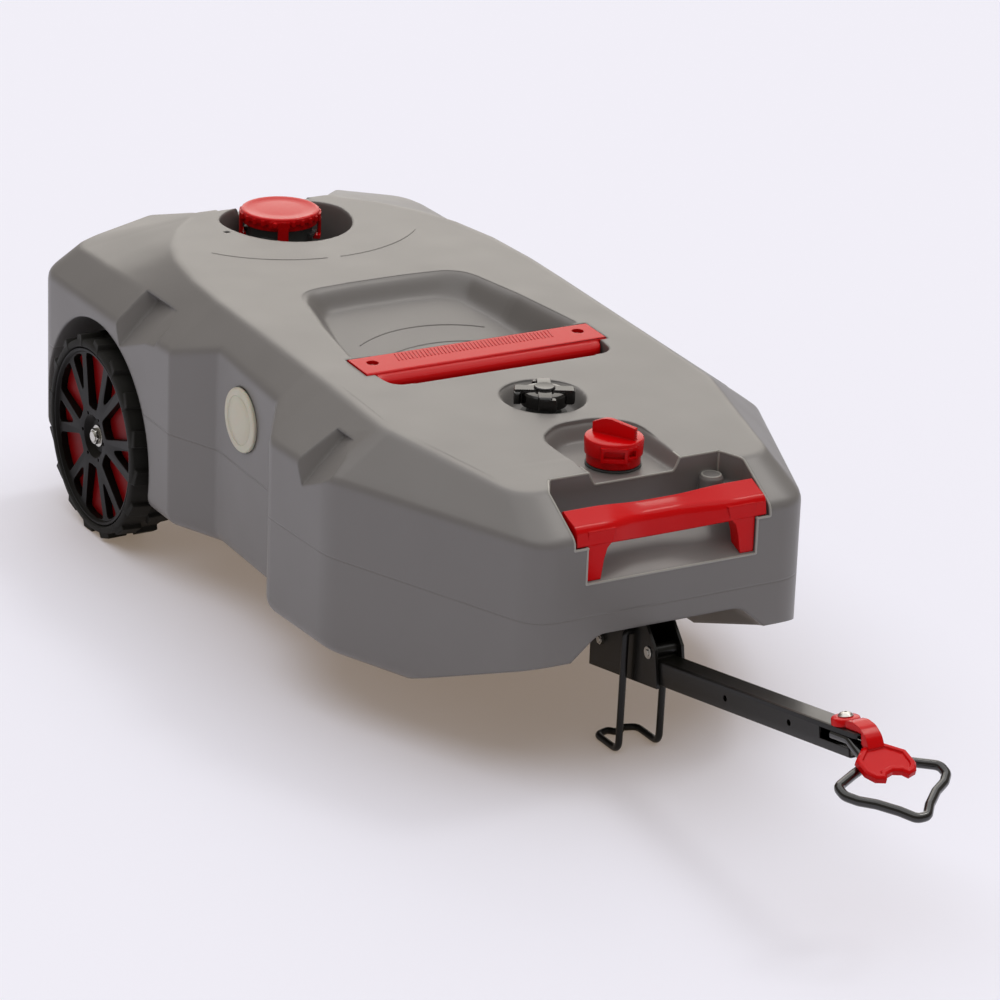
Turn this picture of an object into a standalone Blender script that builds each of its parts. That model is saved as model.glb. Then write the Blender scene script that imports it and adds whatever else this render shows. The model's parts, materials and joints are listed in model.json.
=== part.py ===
"""Wheeled portable waste water tank: a blow moulded tote tank with two wheels, a tow bar and a kickstand.

Metres, +Z up. The tank's front, with the tow bar, looks towards -Y; the ground is z = 0, and the
origin lies on the ground, midway between the tank's rear wall and the tip of the hand loop.
"""

from math import asin, cos, pi, radians, sin, sqrt, tan

import bmesh
import bpy
from mathutils import Matrix, Vector

# Clearances
GAP = 0.0003  # between two pieces that touch
RUN = 0.00008  # round a shaft that turns in a bearing

# Tank
TANK_LENGTH = 1.167
TANK_BOTTOM = 0.085
TANK_WALL = 0.005
BOTTOM_RADIUS = 0.026
SHOULDER_EDGE = 0.005
SHOULDER_Z = 0.320
SHOULDER_SLOPE = 0.81  # fall of the side shoulders per metre outwards
DECK_REAR_Z = 0.395
DECK_FALL = 0.0352  # how far the deck curves down towards the front
HOUSING_HALF = 0.305  # half width over the rear wheel housings
WAIST_HALF = 0.275
FRONT_HALF = 0.317
DECK_HALF = 0.2325
REAR_RECESS = 0.055
REAR_RECESS_HALF = 0.105
DECK_SETBACK = 0.068  # from the front wall back to the deck's front edge
CORNER_STEPS = 2

# Wheels
WHEEL_RADIUS = 0.140
TREAD_RADIUS = 0.132
WHEEL_OUTER_X = 0.3155
WHEEL_WIDTH = 0.070
AXLE_FROM_REAR = 0.185
AXLE_RADIUS = 0.008
ARCH_RADIUS = 0.163
ARCH_INNER_X = 0.233
RIM_RADIUS = 0.1215
RIM_BARREL = 0.005
SPOKE_REACH = 0.1155
SPOKE_FACE_DEPTH = 0.004
SPOKE_THICKNESS = 0.012
SPOKE_COUNT = 6
RIM_PHASE = radians(2.2)
HUB_RADIUS = 0.020
BUSH_RADIUS = 0.0125
HUB_RECESS = 0.013
WASHER_RADIUS = 0.015
WASHER_THICKNESS = 0.002
NUT_RADIUS = 0.0115
NUT_HEIGHT = 0.0055
SPACER_RADIUS = 0.013
STRAP_X = 0.120
STRAP_WIDTH = 0.030
STRAP_GAUGE = 0.0025
STRAP_HALF_LENGTH = 0.032
STRAP_SCREW_Y = 0.0215
LUG_COUNT = 16

# Sewer inlet at the rear
INLET_FROM_REAR = 0.120
POCKET_HALF = 0.092
POCKET_REACH = 0.118  # from the inlet's middle forwards to the rim
POCKET_FLOOR_Z = 0.334
NECK_RADIUS = 0.0445
NECK_BORE = 0.0385
NECK_TOP_Z = 0.3845
INLET_CAP_RADIUS = 0.055
INLET_CAP_RIM = 0.015
POCKET_SLOT_HALF = 0.071
NECK_FLANGE = 0.056
LUG_REACH = 0.050
LUG_LOW_Z = 0.372
SEAL_THICKNESS = 0.002
TETHER_X = 0.100
TETHER_FROM_REAR = 0.158
TETHER_RADIUS = 0.004
HOOK_COUNT = 4

# Deck scoop and its handle
SCOOP_REAR_FROM_REAR = 0.413
SCOOP_LENGTH = 0.340
SCOOP_REAR_HALF = 0.112
SCOOP_FRONT_HALF = 0.168
SCOOP_LEDGE_HALF = 0.138
SCOOP_REAR_DEPTH = 0.024
SCOOP_FRONT_DEPTH = 0.056
SCOOP_WALL_RUN = 0.022
HANDLE_BACK = 0.0460  # from the scoop's front edge back to the handle
HANDLE_DEPTH = 0.0550
HANDLE_HALF = 0.1745
HANDLE_BAR_HALF = 0.161
HANDLE_LIP_THICKNESS = 0.010
HANDLE_ROLL = 0.0135  # how far the lip rolls out in front of the plate
HANDLE_PLATE = 0.010
HANDLE_LIP = 0.030
HANDLE_PROUD = 0.0015
HANDLE_SCREW_X = 0.150

# Hose port with its winged cap
HOSE_FROM_FRONT = 0.317
DISH_RADIUS = 0.057
DISH_DEPTH = 0.022
HOSE_NECK_RADIUS = 0.022
HOSE_CAP_RADIUS = 0.030
HOSE_CAP_HEIGHT = 0.019
HOSE_CAP_ROOF = 0.004
HOSE_NECK_HEIGHT = 0.026
HOSE_LOBES = 6
HOSE_LOBE_REACH = 0.040

# Vent with its finned cap
VENT_FROM_FRONT = 0.1463
VENT_RECESS_HALF = 0.068
VENT_RECESS_REAR = 0.238  # from the front wall
VENT_WALL_RUN = 0.014
VENT_FLOOR_Z = 0.3455
VENT_NECK_HEIGHT = 0.026
VENT_CAP_ROOF = 0.0085
VENT_NECK_RADIUS = 0.030
VENT_CAP_RADIUS = 0.0360
VENT_FIN_HEIGHT = 0.016

# Front handle
RECESS_REAR = 0.096  # from the front wall back to the recess's rear wall
RECESS_HALF = 0.1365
RECESS_REAR_HALF = 0.120
WELL_FRONT_Z = 0.262
WELL_REAR_Z = 0.310
END_SHELF_Z = 0.308
EAR_SHELF_Z = 0.325
EAR_STEP = 0.0435
EAR_SCREW_X = 0.1215
EAR_THICKNESS = 0.005
GRIP_HALF = 0.1325
GRIP_TOP_FRONT_Z = 0.3315
GRIP_TOP_REAR_Z = 0.3435
GRIP_WALL = 0.008
GRIP_FOOT_OUTER = 0.117
GRIP_FOOT_INNER = 0.094
EAR_WIDTH = 0.028
EAR_LENGTH = 0.016

# Level gauge on the left waist
GAUGE_FROM_REAR = 0.563
GAUGE_Z = 0.288
GAUGE_RADIUS = 0.0425
GAUGE_NECK_RADIUS = 0.030

# Strap notches across the shoulders
NOTCH_LENGTH = 0.090
NOTCH_DEPTH = 0.020
NOTCH_FACE = 0.012
REAR_NOTCH_FROM_REAR = 0.243
FRONT_NOTCH_FROM_FRONT = 0.375

# Underside: bay for the tow bar, ramp under the nose and channel for the axle
BAY_LENGTH = 0.217
BAY_TOP_Z = 0.194
BAY_SHOULDER_Z = 0.157
BAY_TOP_HALF = 0.100
BAY_HALF = 0.1435
RAMP_START = 0.200  # from the front wall
RAMP_FRONT_Z = 0.163
CHANNEL_HALF = 0.035

# Tow bracket, bar and loop
BRACKET_REAR = 0.147  # from the front wall back to the side plates' rear edge
BRACKET_GAUGE = 0.004
BRACKET_PITCH = radians(10.3)
BRACKET_BOTTOM_Z = 0.0835
BRACKET_BOLT_FIRST = 0.030
BRACKET_BOLT_SPACING = 0.090
STOP_RADIUS = 0.004
BAR_SIZE = 0.032
BAR_WALL = 0.0025
BAR_SIDE_PLAY = 0.0006
HINGE_FROM_FRONT = 0.011
HINGE_Z = 0.152
HINGE_PIN_RADIUS = 0.004
HINGE_SLEEVE_RADIUS = 0.0085
BAR_BEHIND_HINGE = 0.122
BAR_AHEAD_HINGE = 0.446
BAR_HOLE_RADIUS = 0.004
BAR_HOLE_FIRST = 0.165
BAR_HOLE_SPACING = 0.1386
BAR_SLOT_LENGTH = 0.078
BAR_SLOT_HEIGHT = 0.014
BAR_END_CUT = 0.018
LOOP_WIRE = 0.0105
LOOP_DROOP = radians(17)
LOOP_BEND_BACK = 0.022  # from the bar's front end back to the bend
LOOP_RISE = 0.004
LOOP_LEG = 0.033
LOOP_LEG_X = 0.0115
LOOP_HALF = 0.069
LOOP_REACH = 0.140
LATCH_BOLT_BACK = 0.046  # from the bar's front end
LATCH_THICKNESS = 0.009
LATCH_FOOT_RADIUS = 0.017
LATCH_ARM_HALF = 0.011
LATCH_PLATE_HALF = 0.034
LATCH_PLATE = 0.0085
LATCH_BOLT_RADIUS = 0.003
LATCH_HEAD_RADIUS = 0.008

# Kickstand
STAND_WIRE = 0.009
PIN_HEAD_RADIUS = 0.0068
PIN_HEAD = 0.003  # how far the hinge pin's ends stand out of the bracket
STAND_FROM_FRONT = 0.0514
STAND_PIVOT_Z = 0.165
STAND_FOOT = 0.056

HOLE_DEPTH = 0.0038  # of a blind screw hole in the tank's wall
BORE_PHASE = radians(3.1)  # keeps a bore's corners off its neighbours' edges

LOOP_OUT = (BAR_AHEAD_HINGE - LOOP_BEND_BACK) * cos(BRACKET_PITCH) - HINGE_FROM_FRONT
LOOP_TIP_OUT = LOOP_OUT + LOOP_REACH * cos(LOOP_DROOP) + LOOP_WIRE / 2 + 0.0036
OVERALL_LENGTH = TANK_LENGTH + LOOP_TIP_OUT
REAR_Y = OVERALL_LENGTH / 2
FRONT_Y = REAR_Y - TANK_LENGTH
FAR = 0.6  # reach of a cutter that runs right out of the tank


def from_rear(distance):
    return REAR_Y - distance


def from_front(distance):
    return FRONT_Y + distance


AXLE_Y = from_rear(AXLE_FROM_REAR)
AXLE_Z = WHEEL_RADIUS
INLET_Y = from_rear(INLET_FROM_REAR)
HOSE_Y = from_front(HOSE_FROM_FRONT)
VENT_Y = from_front(VENT_FROM_FRONT)
HINGE_Y = from_front(HINGE_FROM_FRONT)
STAND_Y = from_front(STAND_FROM_FRONT)
GAUGE_Y = from_rear(GAUGE_FROM_REAR)
TETHER_Y = from_rear(TETHER_FROM_REAR)
SCOOP_REAR_Y = from_rear(SCOOP_REAR_FROM_REAR)
SCOOP_FRONT_Y = SCOOP_REAR_Y - SCOOP_LENGTH
HANDLE_FRONT_Y = SCOOP_FRONT_Y + HANDLE_BACK
HANDLE_REAR_Y = HANDLE_FRONT_Y + HANDLE_DEPTH


def deck_z(y):
    """Height of the deck, which curves down towards the front."""
    share = (from_rear(REAR_RECESS) - y) / (TANK_LENGTH - REAR_RECESS - DECK_SETBACK)
    return DECK_REAR_Z - DECK_FALL * max(share, 0) ** 2


def clear_scene():
    for thing in list(bpy.data.objects):
        bpy.data.objects.remove(thing)


def plastic(name, hex_colour, roughness, metallic=0.0):
    made = bpy.data.materials.new(name)
    made.use_nodes = True
    shader = made.node_tree.nodes["Principled BSDF"]
    channels = [int(hex_colour[i : i + 2], 16) / 255 for i in (1, 3, 5)]
    linear = [c / 12.92 if c <= 0.04045 else ((c + 0.055) / 1.055) ** 2.4 for c in channels]
    shader.inputs["Base Color"].default_value = (*linear, 1)
    shader.inputs["Roughness"].default_value = roughness
    shader.inputs["Metallic"].default_value = metallic
    made.diffuse_color = (*linear, 1)
    return made


def make_materials():
    return {
        "tank": plastic("grey_polyethylene", "#8F8A85", 0.5),
        "red": plastic("red_polypropylene", "#CC1018", 0.38),
        "black": plastic("black_nylon", "#1C1B1A", 0.45),
        "neck": plastic("dark_grey_abs", "#3E4140", 0.5),
        "tyre": plastic("black_polymer_tyre", "#1B1A16", 0.8),
        "rim": plastic("black_polypropylene", "#221F19", 0.55),
        "cream": plastic("natural_polyethylene", "#BEB9A5", 0.45),
        "seal": plastic("nitrile_rubber", "#161616", 0.85),
        "steel": plastic("zinc_plated_steel", "#B8B6B0", 0.3, 1.0),
        "frame": plastic("black_powder_coat", "#17160F", 0.45, 0.2),
    }


def new_object(name, mesh, material=None):
    made = bpy.data.objects.new(name, mesh)
    bpy.context.scene.collection.objects.link(made)
    if material:
        mesh.materials.append(material)
    return made


def from_bmesh(name, shape, material=None, origin=None, smooth=35):
    """Make an object of a bmesh given in world coordinates, with its origin at a chosen point."""
    if origin is not None:
        bmesh.ops.translate(shape, vec=-Vector(origin), verts=shape.verts)
    bmesh.ops.recalc_face_normals(shape, faces=shape.faces)
    mesh = bpy.data.meshes.new(name)
    shape.to_mesh(mesh)
    shape.free()
    mesh.shade_smooth()
    mesh.set_sharp_from_angle(angle=radians(smooth))
    made = new_object(name, mesh, material)
    if origin is not None:
        made.location = origin
    return made


def guide(name, shape):
    """A shape that only cuts or joins another one."""
    made = from_bmesh(name, shape)
    made.hide_render = True
    made.display_type = "WIRE"
    return made


def boolean(target, operation, *shapes):
    for number, shape in enumerate(shapes):
        tool = shape
        if isinstance(shape, bmesh.types.BMesh):
            tool = guide(f"{target.name}_{operation.lower()}_{len(target.modifiers)}_{number}", shape)
        made = target.modifiers.new(tool.name[:60], "BOOLEAN")
        made.operation = operation
        made.solver = "EXACT"
        made.object = tool
    return target


def cut(target, *shapes):
    return boolean(target, "DIFFERENCE", *shapes)


def join(target, *shapes):
    return boolean(target, "UNION", *shapes)


def box(low, high):
    shape = bmesh.new()
    bmesh.ops.create_cube(shape, size=1)
    low = Vector(low)
    high = Vector(high)
    bmesh.ops.scale(shape, vec=high - low, verts=shape.verts)
    bmesh.ops.translate(shape, vec=(low + high) / 2, verts=shape.verts)
    return shape


AXES = {
    "X": Matrix(((0, 0, 1), (1, 0, 0), (0, 1, 0))),
    "Y": Matrix(((1, 0, 0), (0, 0, -1), (0, 1, 0))),
    "Z": Matrix.Identity(3),
}


def prism(outline, low, high, axis="Z"):
    """Extrude an outline along an axis: (y, z) points for X, (x, z) for Y and (x, y) for Z."""
    turn = AXES[axis]
    if axis == "Y":
        low, high = -high, -low
    shape = bmesh.new()
    floor = [shape.verts.new(turn @ Vector((a, b, low))) for a, b in outline]
    shape.faces.new(floor)
    made = bmesh.ops.extrude_face_region(shape, geom=shape.faces[:])
    top = [v for v in made["geom"] if isinstance(v, bmesh.types.BMVert)]
    bmesh.ops.translate(shape, vec=turn @ Vector((0, 0, high - low)), verts=top)
    return shape


def end_strips(shape, row):
    """Close a mirrored outline that isn't flat with strips from side to side."""
    count = len(row)
    start = 0
    while start < count // 2 - 1:
        end = start + 1
        while abs(row[end].co.y - row[start].co.y) < 1e-6:
            end += 1
        shape.faces.new(row[start : end + 1] + row[count - 1 - end : count - start])
        start = end


def loft(rings, strip_first=False, strip_last=False):
    """Skin closed rings of equal count into one solid, its ends flat or made of strips."""
    shape = bmesh.new()
    rows = [[shape.verts.new(p) for p in ring] for ring in rings]
    for low, high in zip(rows, rows[1:]):
        for i in range(len(low)):
            j = (i + 1) % len(low)
            shape.faces.new((low[i], low[j], high[j], high[i]))
    for row, stripped in ((rows[0], strip_first), (rows[-1], strip_last)):
        if stripped:
            end_strips(shape, row)
        else:
            shape.faces.new(row)
    bent = [face for face in shape.faces if len(face.verts) == 4]
    bmesh.ops.triangulate(shape, faces=bent)
    return shape


def turned(profile, centre, axis="Z", steps=24, phase=0.0):
    """Turn a closed (radius, height) profile round an axis; a radius of 0 lies on the axis."""
    turn = AXES[axis]
    centre = Vector(centre)
    shape = bmesh.new()
    rows = []
    for radius, height in profile:
        if radius == 0:
            rows.append([shape.verts.new(centre + turn @ Vector((0, 0, height)))])
            continue
        angles = [phase + 2 * pi * k / steps for k in range(steps)]
        ring = [Vector((radius * cos(a), radius * sin(a), height)) for a in angles]
        rows.append([shape.verts.new(centre + turn @ p) for p in ring])
    pairs = list(zip(rows, rows[1:]))
    if profile[0][0] > 0:
        pairs.append((rows[-1], rows[0]))
    for one, two in pairs:
        for k in range(steps):
            j = (k + 1) % steps
            corners = [one[k % len(one)], one[j % len(one)], two[j % len(two)], two[k % len(two)]]
            distinct = list(dict.fromkeys(corners))
            if len(distinct) > 2:
                shape.faces.new(distinct)
    return shape


def cylinder(radius, low, high, centre, axis="Z", steps=24):
    return turned([(0, low), (radius, low), (radius, high), (0, high)], centre, axis, steps)


def rounded(points, radii, steps=CORNER_STEPS, closed=False):
    """Round the corners of a line of points. A corner with a radius becomes steps + 1 points."""
    points = [Vector(p) for p in points]
    count = len(points)
    made = []
    for k, (corner, radius) in enumerate(zip(points, radii)):
        if radius == 0 or (not closed and k in (0, count - 1)):
            made.append(corner)
            continue
        into = points[k - 1] - corner
        away = points[(k + 1) % count] - corner
        half = into.angle(away) / 2
        reach = min(radius / tan(half), 0.45 * into.length, 0.45 * away.length)
        start = corner + into.normalized() * reach
        end = corner + away.normalized() * reach
        for step in range(steps + 1):
            t = step / steps
            made.append(start * (1 - t) ** 2 + corner * 2 * t * (1 - t) + end * t**2)
    return made


def offset_outline(corners, margin, steps=CORNER_STEPS):
    """Grow a closed anticlockwise outline of (x, y, radius, height) corners by a margin and round it."""
    count = len(corners)
    moved = []
    radii = []
    for k, (x, y, radius, height) in enumerate(corners):
        before = corners[k - 1]
        after = corners[(k + 1) % count]
        one = Vector((x - before[0], y - before[1])).normalized()
        two = Vector((after[0] - x, after[1] - y)).normalized()
        out = Vector((one.y + two.y, -one.x - two.x)) / (1 + one.dot(two))
        moved.append(Vector((x + out.x * margin, y + out.y * margin, height)))
        turns_out = one.x * two.y - one.y * two.x > 0
        radii.append(max(radius + (margin if turns_out else -margin), 0.001) if radius else 0)
    return rounded(moved, radii, steps, closed=True)


def mirrored(half):
    """A closed outline from its right half, which runs from the front to the rear."""
    return half + [(-corner[0], *corner[1:]) for corner in reversed(half)]


def flat_outline(half, margin, steps=CORNER_STEPS):
    """The plan of a recess, from the right half of its corners as (x, y, radius)."""
    return offset_outline(mirrored([(x, y, radius, 0) for x, y, radius in half]), margin, steps)


# Tank outlines: at each station, a point on the wall, the middle of the shoulder and the deck's edge.


def stations():
    """(wall x, y, shoulder height or None), (middle point or None), (deck x, y), corner radius."""
    side = HOUSING_HALF
    crown = 0.262
    rear = from_rear(REAR_RECESS)
    lip = DECK_REAR_Z - 0.012
    return [
        ((0.100, from_front(0), SHOULDER_Z), None, (0.100, from_front(DECK_SETBACK)), 0),
        ((0.187, from_front(0), SHOULDER_Z), None, (0.178, from_front(DECK_SETBACK)), 0.05),
        ((FRONT_HALF - 0.006, from_front(0.302), None), None, (DECK_HALF + 0.001, from_front(0.302)), 0.10),
        ((FRONT_HALF + 0.001, from_front(0.448), None), None, (DECK_HALF, from_front(0.448)), 0.03),
        ((WAIST_HALF + 0.003, from_front(0.507), None), None, (DECK_HALF, from_front(0.507)), 0.02),
        ((WAIST_HALF - 0.002, from_rear(0.485), None), None, (DECK_HALF, from_rear(0.485)), 0.02),
        ((side, from_rear(0.406), None), None, (DECK_HALF, from_rear(0.406)), 0.014),
        ((side, from_rear(0.311), None), None, (0.2265, from_rear(0.311)), 0),
        (
            (side, from_rear(0.232), SHOULDER_Z),
            (crown, from_rear(0.232), 0.359),
            (0.2105, from_rear(0.232)),
            0,
        ),
        (
            (side, from_rear(0.172), SHOULDER_Z),
            (crown, from_rear(0.172), 0.358),
            (0.187, from_rear(0.172)),
            0,
        ),
        (
            (side, from_rear(0.110), SHOULDER_Z),
            (crown, from_rear(0.110), 0.357),
            (0.150, from_rear(0.115)),
            0,
        ),
        (
            (side, from_rear(0), SHOULDER_Z),
            (crown, from_rear(0.012), 0.356),
            (0.112, from_rear(0.078)),
            0.035,
        ),
        ((0.150, from_rear(0), 0.371), (0.147, from_rear(0.006), 0.380), (0.106, from_rear(0.066)), 0.014),
        ((REAR_RECESS_HALF, rear, lip), None, (0.100, from_rear(0.062)), 0.010),
    ]


def shoulder_rings(inset):
    """Corners of the wall's, shoulder's and deck's outlines, moved inwards by a wall."""
    wall, middle, deck = [], [], []
    for (x, y, height), mid, (deck_x, deck_y), radius in stations():
        edge = Vector((deck_x, deck_y, deck_z(deck_y)))
        if height is None:
            height = max(SHOULDER_Z, edge.z - SHOULDER_SLOPE * (x - deck_x))
        foot = Vector((x, y, height))
        centre = Vector(mid) if mid else foot.lerp(edge, 0.35)
        wall.append((x, y, radius, foot.z - 0.5 * inset))
        middle.append((centre.x, centre.y, radius, centre.z - 0.8 * inset))
        deck.append((edge.x, edge.y, radius, edge.z - inset))
    return mirrored(wall), mirrored(middle), mirrored(deck)


def tank_solid(inset):
    """The tank's outside without its recesses, moved inwards by a wall."""
    wall, middle, deck = shoulder_rings(inset)
    bottom = TANK_BOTTOM + inset
    bend = BOTTOM_RADIUS - inset
    rings = []
    for step in range(CORNER_STEPS + 1):
        angle = step / CORNER_STEPS * pi / 2
        ring = offset_outline(wall, -inset - bend * (1 - sin(angle)))
        rings.append([Vector((p.x, p.y, bottom + bend * (1 - cos(angle)))) for p in ring])
    upright = offset_outline(wall, -inset)
    slope = offset_outline(middle, -0.6 * inset)
    rings.append([p - Vector((0, 0, SHOULDER_EDGE)) for p in upright])
    rings.append([p.lerp(q, min(SHOULDER_EDGE / (q - p).length, 0.4)) for p, q in zip(upright, slope)])
    rings.append(slope)
    rings.append(offset_outline(deck, -0.35 * inset))
    return loft(rings, strip_last=True)


# Recesses of the tank. Each takes grow, by which the recess is larger all round: 0 for the outside
# and the wall's thickness for the hollow, so that a wall of even thickness follows every recess.


def raised(outline, height):
    """The points of a flat outline at a height, which may be a function of y."""
    level = height if callable(height) else lambda y: height
    return [Vector((p.x, p.y, level(p.y))) for p in outline]


def above_deck(outline):
    return raised(outline, DECK_REAR_Z + 0.03)


def wheel_arch(side, grow):
    low, high = sorted((side * (ARCH_INNER_X - grow), side * FAR))
    return cylinder(ARCH_RADIUS + grow, low, high, (0, AXLE_Y, AXLE_Z), "X", 32)


def axle_channel(grow):
    """A channel across the underside, with a half round crown that the axle lies in."""
    half = CHANNEL_HALF + grow
    crown = AXLE_RADIUS + GAP + grow
    first = asin(grow / crown)
    steps = 8
    sweep = [first + (pi - 2 * first) * k / steps for k in range(steps + 1)]
    arc = [(crown * cos(a), crown * sin(a)) for a in sweep]
    low = -AXLE_Z
    outline = [(half, low), (half, grow), *arc, (-half, grow), (-half, low)]
    reach = ARCH_INNER_X + 0.01
    return prism([(AXLE_Y + y, AXLE_Z + z) for y, z in outline], -reach, reach, "X")


def nose_ramp(grow):
    """Clears the underside of the nose, from the flat bottom up to the front wall."""
    rise = (RAMP_FRONT_Z - TANK_BOTTOM) / RAMP_START
    lift = grow * sqrt(1 + rise**2)
    back = 0.05
    out = RAMP_START + 0.1
    start = from_front(RAMP_START)
    outline = [
        (start + back, TANK_BOTTOM - rise * back + lift),
        (start - out, TANK_BOTTOM + rise * out + lift),
        (start - out, 0),
        (start + back, 0),
    ]
    return prism(outline, -FAR, FAR, "X")


def bay(grow):
    """The arched space under the nose that holds the tow bracket."""
    top = BAY_TOP_Z + grow
    low = BAY_HALF + 0.045 + grow
    half = [(low, 0), (BAY_HALF + grow, BAY_SHOULDER_Z), (BAY_TOP_HALF + grow, top)]
    points = half + [(-x, z) for x, z in reversed(half)]
    outline = rounded([(x, z, 0) for x, z in points], [0, 0.03, 0.03, 0.03, 0.03, 0])
    return prism([(p.x, p.y) for p in outline], from_front(-0.1), from_front(BAY_LENGTH + grow), "Y")


def scoop_half():
    """Right half of the deck scoop's plan: narrow under the handle, then widest and tapering back."""
    reach = HANDLE_REAR_Y + 0.002
    return [
        (SCOOP_LEDGE_HALF, SCOOP_FRONT_Y, 0.012),
        (SCOOP_LEDGE_HALF, reach, 0.004),
        (SCOOP_FRONT_HALF, reach, 0.010),
        (SCOOP_FRONT_HALF - 0.012, from_rear(0.545), 0.08),
        (SCOOP_REAR_HALF + 0.012, from_rear(0.462), 0.06),
        (SCOOP_REAR_HALF - 0.050, SCOOP_REAR_Y, 0.05),
    ]


def scoop_floor_z(y):
    share = (SCOOP_REAR_Y - y) / SCOOP_LENGTH
    return deck_z(y) - (SCOOP_REAR_DEPTH + (SCOOP_FRONT_DEPTH - SCOOP_REAR_DEPTH) * share)


def scoop(grow):
    """The scoop itself, and the slot that lets the handle's lip hang down in front."""
    top = flat_outline(scoop_half(), grow)
    low = flat_outline(scoop_half(), grow - SCOOP_WALL_RUN)
    floor = [Vector((p.x, p.y, scoop_floor_z(p.y) - grow)) for p in low]
    basin = loft([floor, raised(top, lambda y: deck_z(y) - 0.002), above_deck(top)], strip_first=True)
    half = HANDLE_BAR_HALF + 0.005 + grow
    slot_rear = HANDLE_FRONT_Y + HANDLE_LIP_THICKNESS + 0.003 + grow
    slot_floor = handle_top_z(HANDLE_FRONT_Y) - HANDLE_LIP - 0.012 - grow
    slot = box((-half, SCOOP_FRONT_Y - grow, slot_floor), (half, slot_rear, DECK_REAR_Z + 0.02))
    return [basin, slot]


def handle_ledge(grow):
    play = 5 * GAP + grow
    low_y = HANDLE_FRONT_Y - play
    high_y = HANDLE_REAR_Y + play
    base = handle_base_z(low_y) - GAP - grow
    outline = [
        (low_y, base),
        (high_y, handle_base_z(high_y) - GAP - grow),
        (high_y, DECK_REAR_Z + 0.03),
        (low_y, DECK_REAR_Z + 0.03),
    ]
    return prism(outline, -HANDLE_HALF - play, HANDLE_HALF + play, "X")


def handle_top_z(y):
    """The handle's top follows the deck, a little proud of it."""
    slope = (deck_z(HANDLE_REAR_Y) - deck_z(HANDLE_FRONT_Y)) / HANDLE_DEPTH
    return deck_z(HANDLE_FRONT_Y) + slope * (y - HANDLE_FRONT_Y) + HANDLE_PROUD


def handle_base_z(y):
    return handle_top_z(y) - HANDLE_PLATE


def inlet_pocket(grow):
    """A well round the sewer inlet, open to the rear."""
    half = [
        (POCKET_SLOT_HALF, REAR_Y + 0.1, 0),
        (POCKET_SLOT_HALF, INLET_Y + 0.062, 0.01),
        (POCKET_HALF, INLET_Y + 0.022, 0.05),
        (POCKET_HALF, INLET_Y - 0.055, 0.06),
        (POCKET_HALF * 0.48, INLET_Y - POCKET_REACH, 0.06),
    ]
    half.reverse()
    top = flat_outline(half, grow)
    low = flat_outline(half, grow - 0.006)
    return loft([raised(low, POCKET_FLOOR_Z - grow), raised(top, POCKET_FLOOR_Z + 0.03), above_deck(top)])


def hose_dish(grow):
    top = deck_z(HOSE_Y)
    floor = top - DISH_DEPTH - grow
    rim = DISH_RADIUS + grow
    profile = [
        (0, floor),
        (rim - 0.018, floor),
        (rim - 0.008, floor + 0.009),
        (rim, top + 0.001),
        (rim, top + 0.03),
        (0, top + 0.03),
    ]
    return turned(profile, (0, HOSE_Y, 0), "Z", 24)


def vent_recess(grow):
    """A flat well round the vent, open to the front handle's recess."""
    front = from_front(RECESS_REAR) - 0.02
    rear = from_front(VENT_RECESS_REAR)
    half = [
        (VENT_RECESS_HALF, front, 0),
        (VENT_RECESS_HALF, rear - 0.030, 0.06),
        (0.4 * VENT_RECESS_HALF, rear, 0.05),
    ]
    top = flat_outline(half, grow)
    low = flat_outline(half, grow - VENT_WALL_RUN)
    low = [Vector((p.x, front if p.y < front + 2 * VENT_WALL_RUN else p.y)) for p in low]
    return loft([raised(low, VENT_FLOOR_Z - grow), raised(top, VENT_FLOOR_Z + 0.020), above_deck(top)])


def handle_recess(grow):
    """Three steps cut from the nose: the shelves of the handle's ears, then its ends, then the well."""
    front = from_front(-0.1)
    rear = from_front(RECESS_REAR)
    shelf = [(RECESS_HALF, front, 0), (RECESS_HALF, rear - 0.030, 0.012), (RECESS_REAR_HALF, rear, 0.012)]
    plan = flat_outline(shelf, grow)
    ears = loft([raised(plan, EAR_SHELF_Z - grow), above_deck(plan)])
    half = RECESS_HALF + grow
    step = from_front(EAR_STEP) + grow
    ends = box((-half, front, END_SHELF_Z - grow), (half, step, DECK_REAR_Z + 0.02))
    well_half = GRIP_FOOT_OUTER + 5 * GAP + grow
    slope = (WELL_REAR_Z - WELL_FRONT_Z) / RECESS_REAR
    fall = grow * sqrt(1 + slope**2)
    back = rear + grow
    outline = [
        (front, WELL_FRONT_Z - slope * 0.1 - fall),
        (back, WELL_REAR_Z + slope * grow - fall),
        (back, DECK_REAR_Z + 0.01),
        (front, DECK_REAR_Z + 0.01),
    ]
    return [ears, ends, prism(outline, -well_half, well_half, "X")]


def strap_notch(side, edge_x, start, grow):
    """A saw tooth groove across a shoulder's edge: a short steep face, then a long ramp forwards."""
    outwards = Vector((side * 0.7071, 0, 0.7071))
    across = Vector((side * 0.7071, 0, -0.7071)) * 0.06
    edge = Vector((side * edge_x, 0, SHOULDER_Z))
    end = start - NOTCH_LENGTH
    lift = 0.03
    ramp = NOTCH_DEPTH / (NOTCH_LENGTH - NOTCH_FACE)
    profile = [
        (start + grow, lift),
        (start + grow, 0.0),
        (start - NOTCH_FACE + grow, -NOTCH_DEPTH - grow),
        (start - NOTCH_FACE, -NOTCH_DEPTH - grow),
        (end - 0.03, 0.03 * ramp - grow),
        (end - 0.03, lift),
    ]
    rings = []
    for sign in (-1, 1):
        rings.append(
            [edge + outwards * height + across * sign + Vector((0, y, 0)) for y, height in profile]
        )
    return loft(rings)


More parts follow.
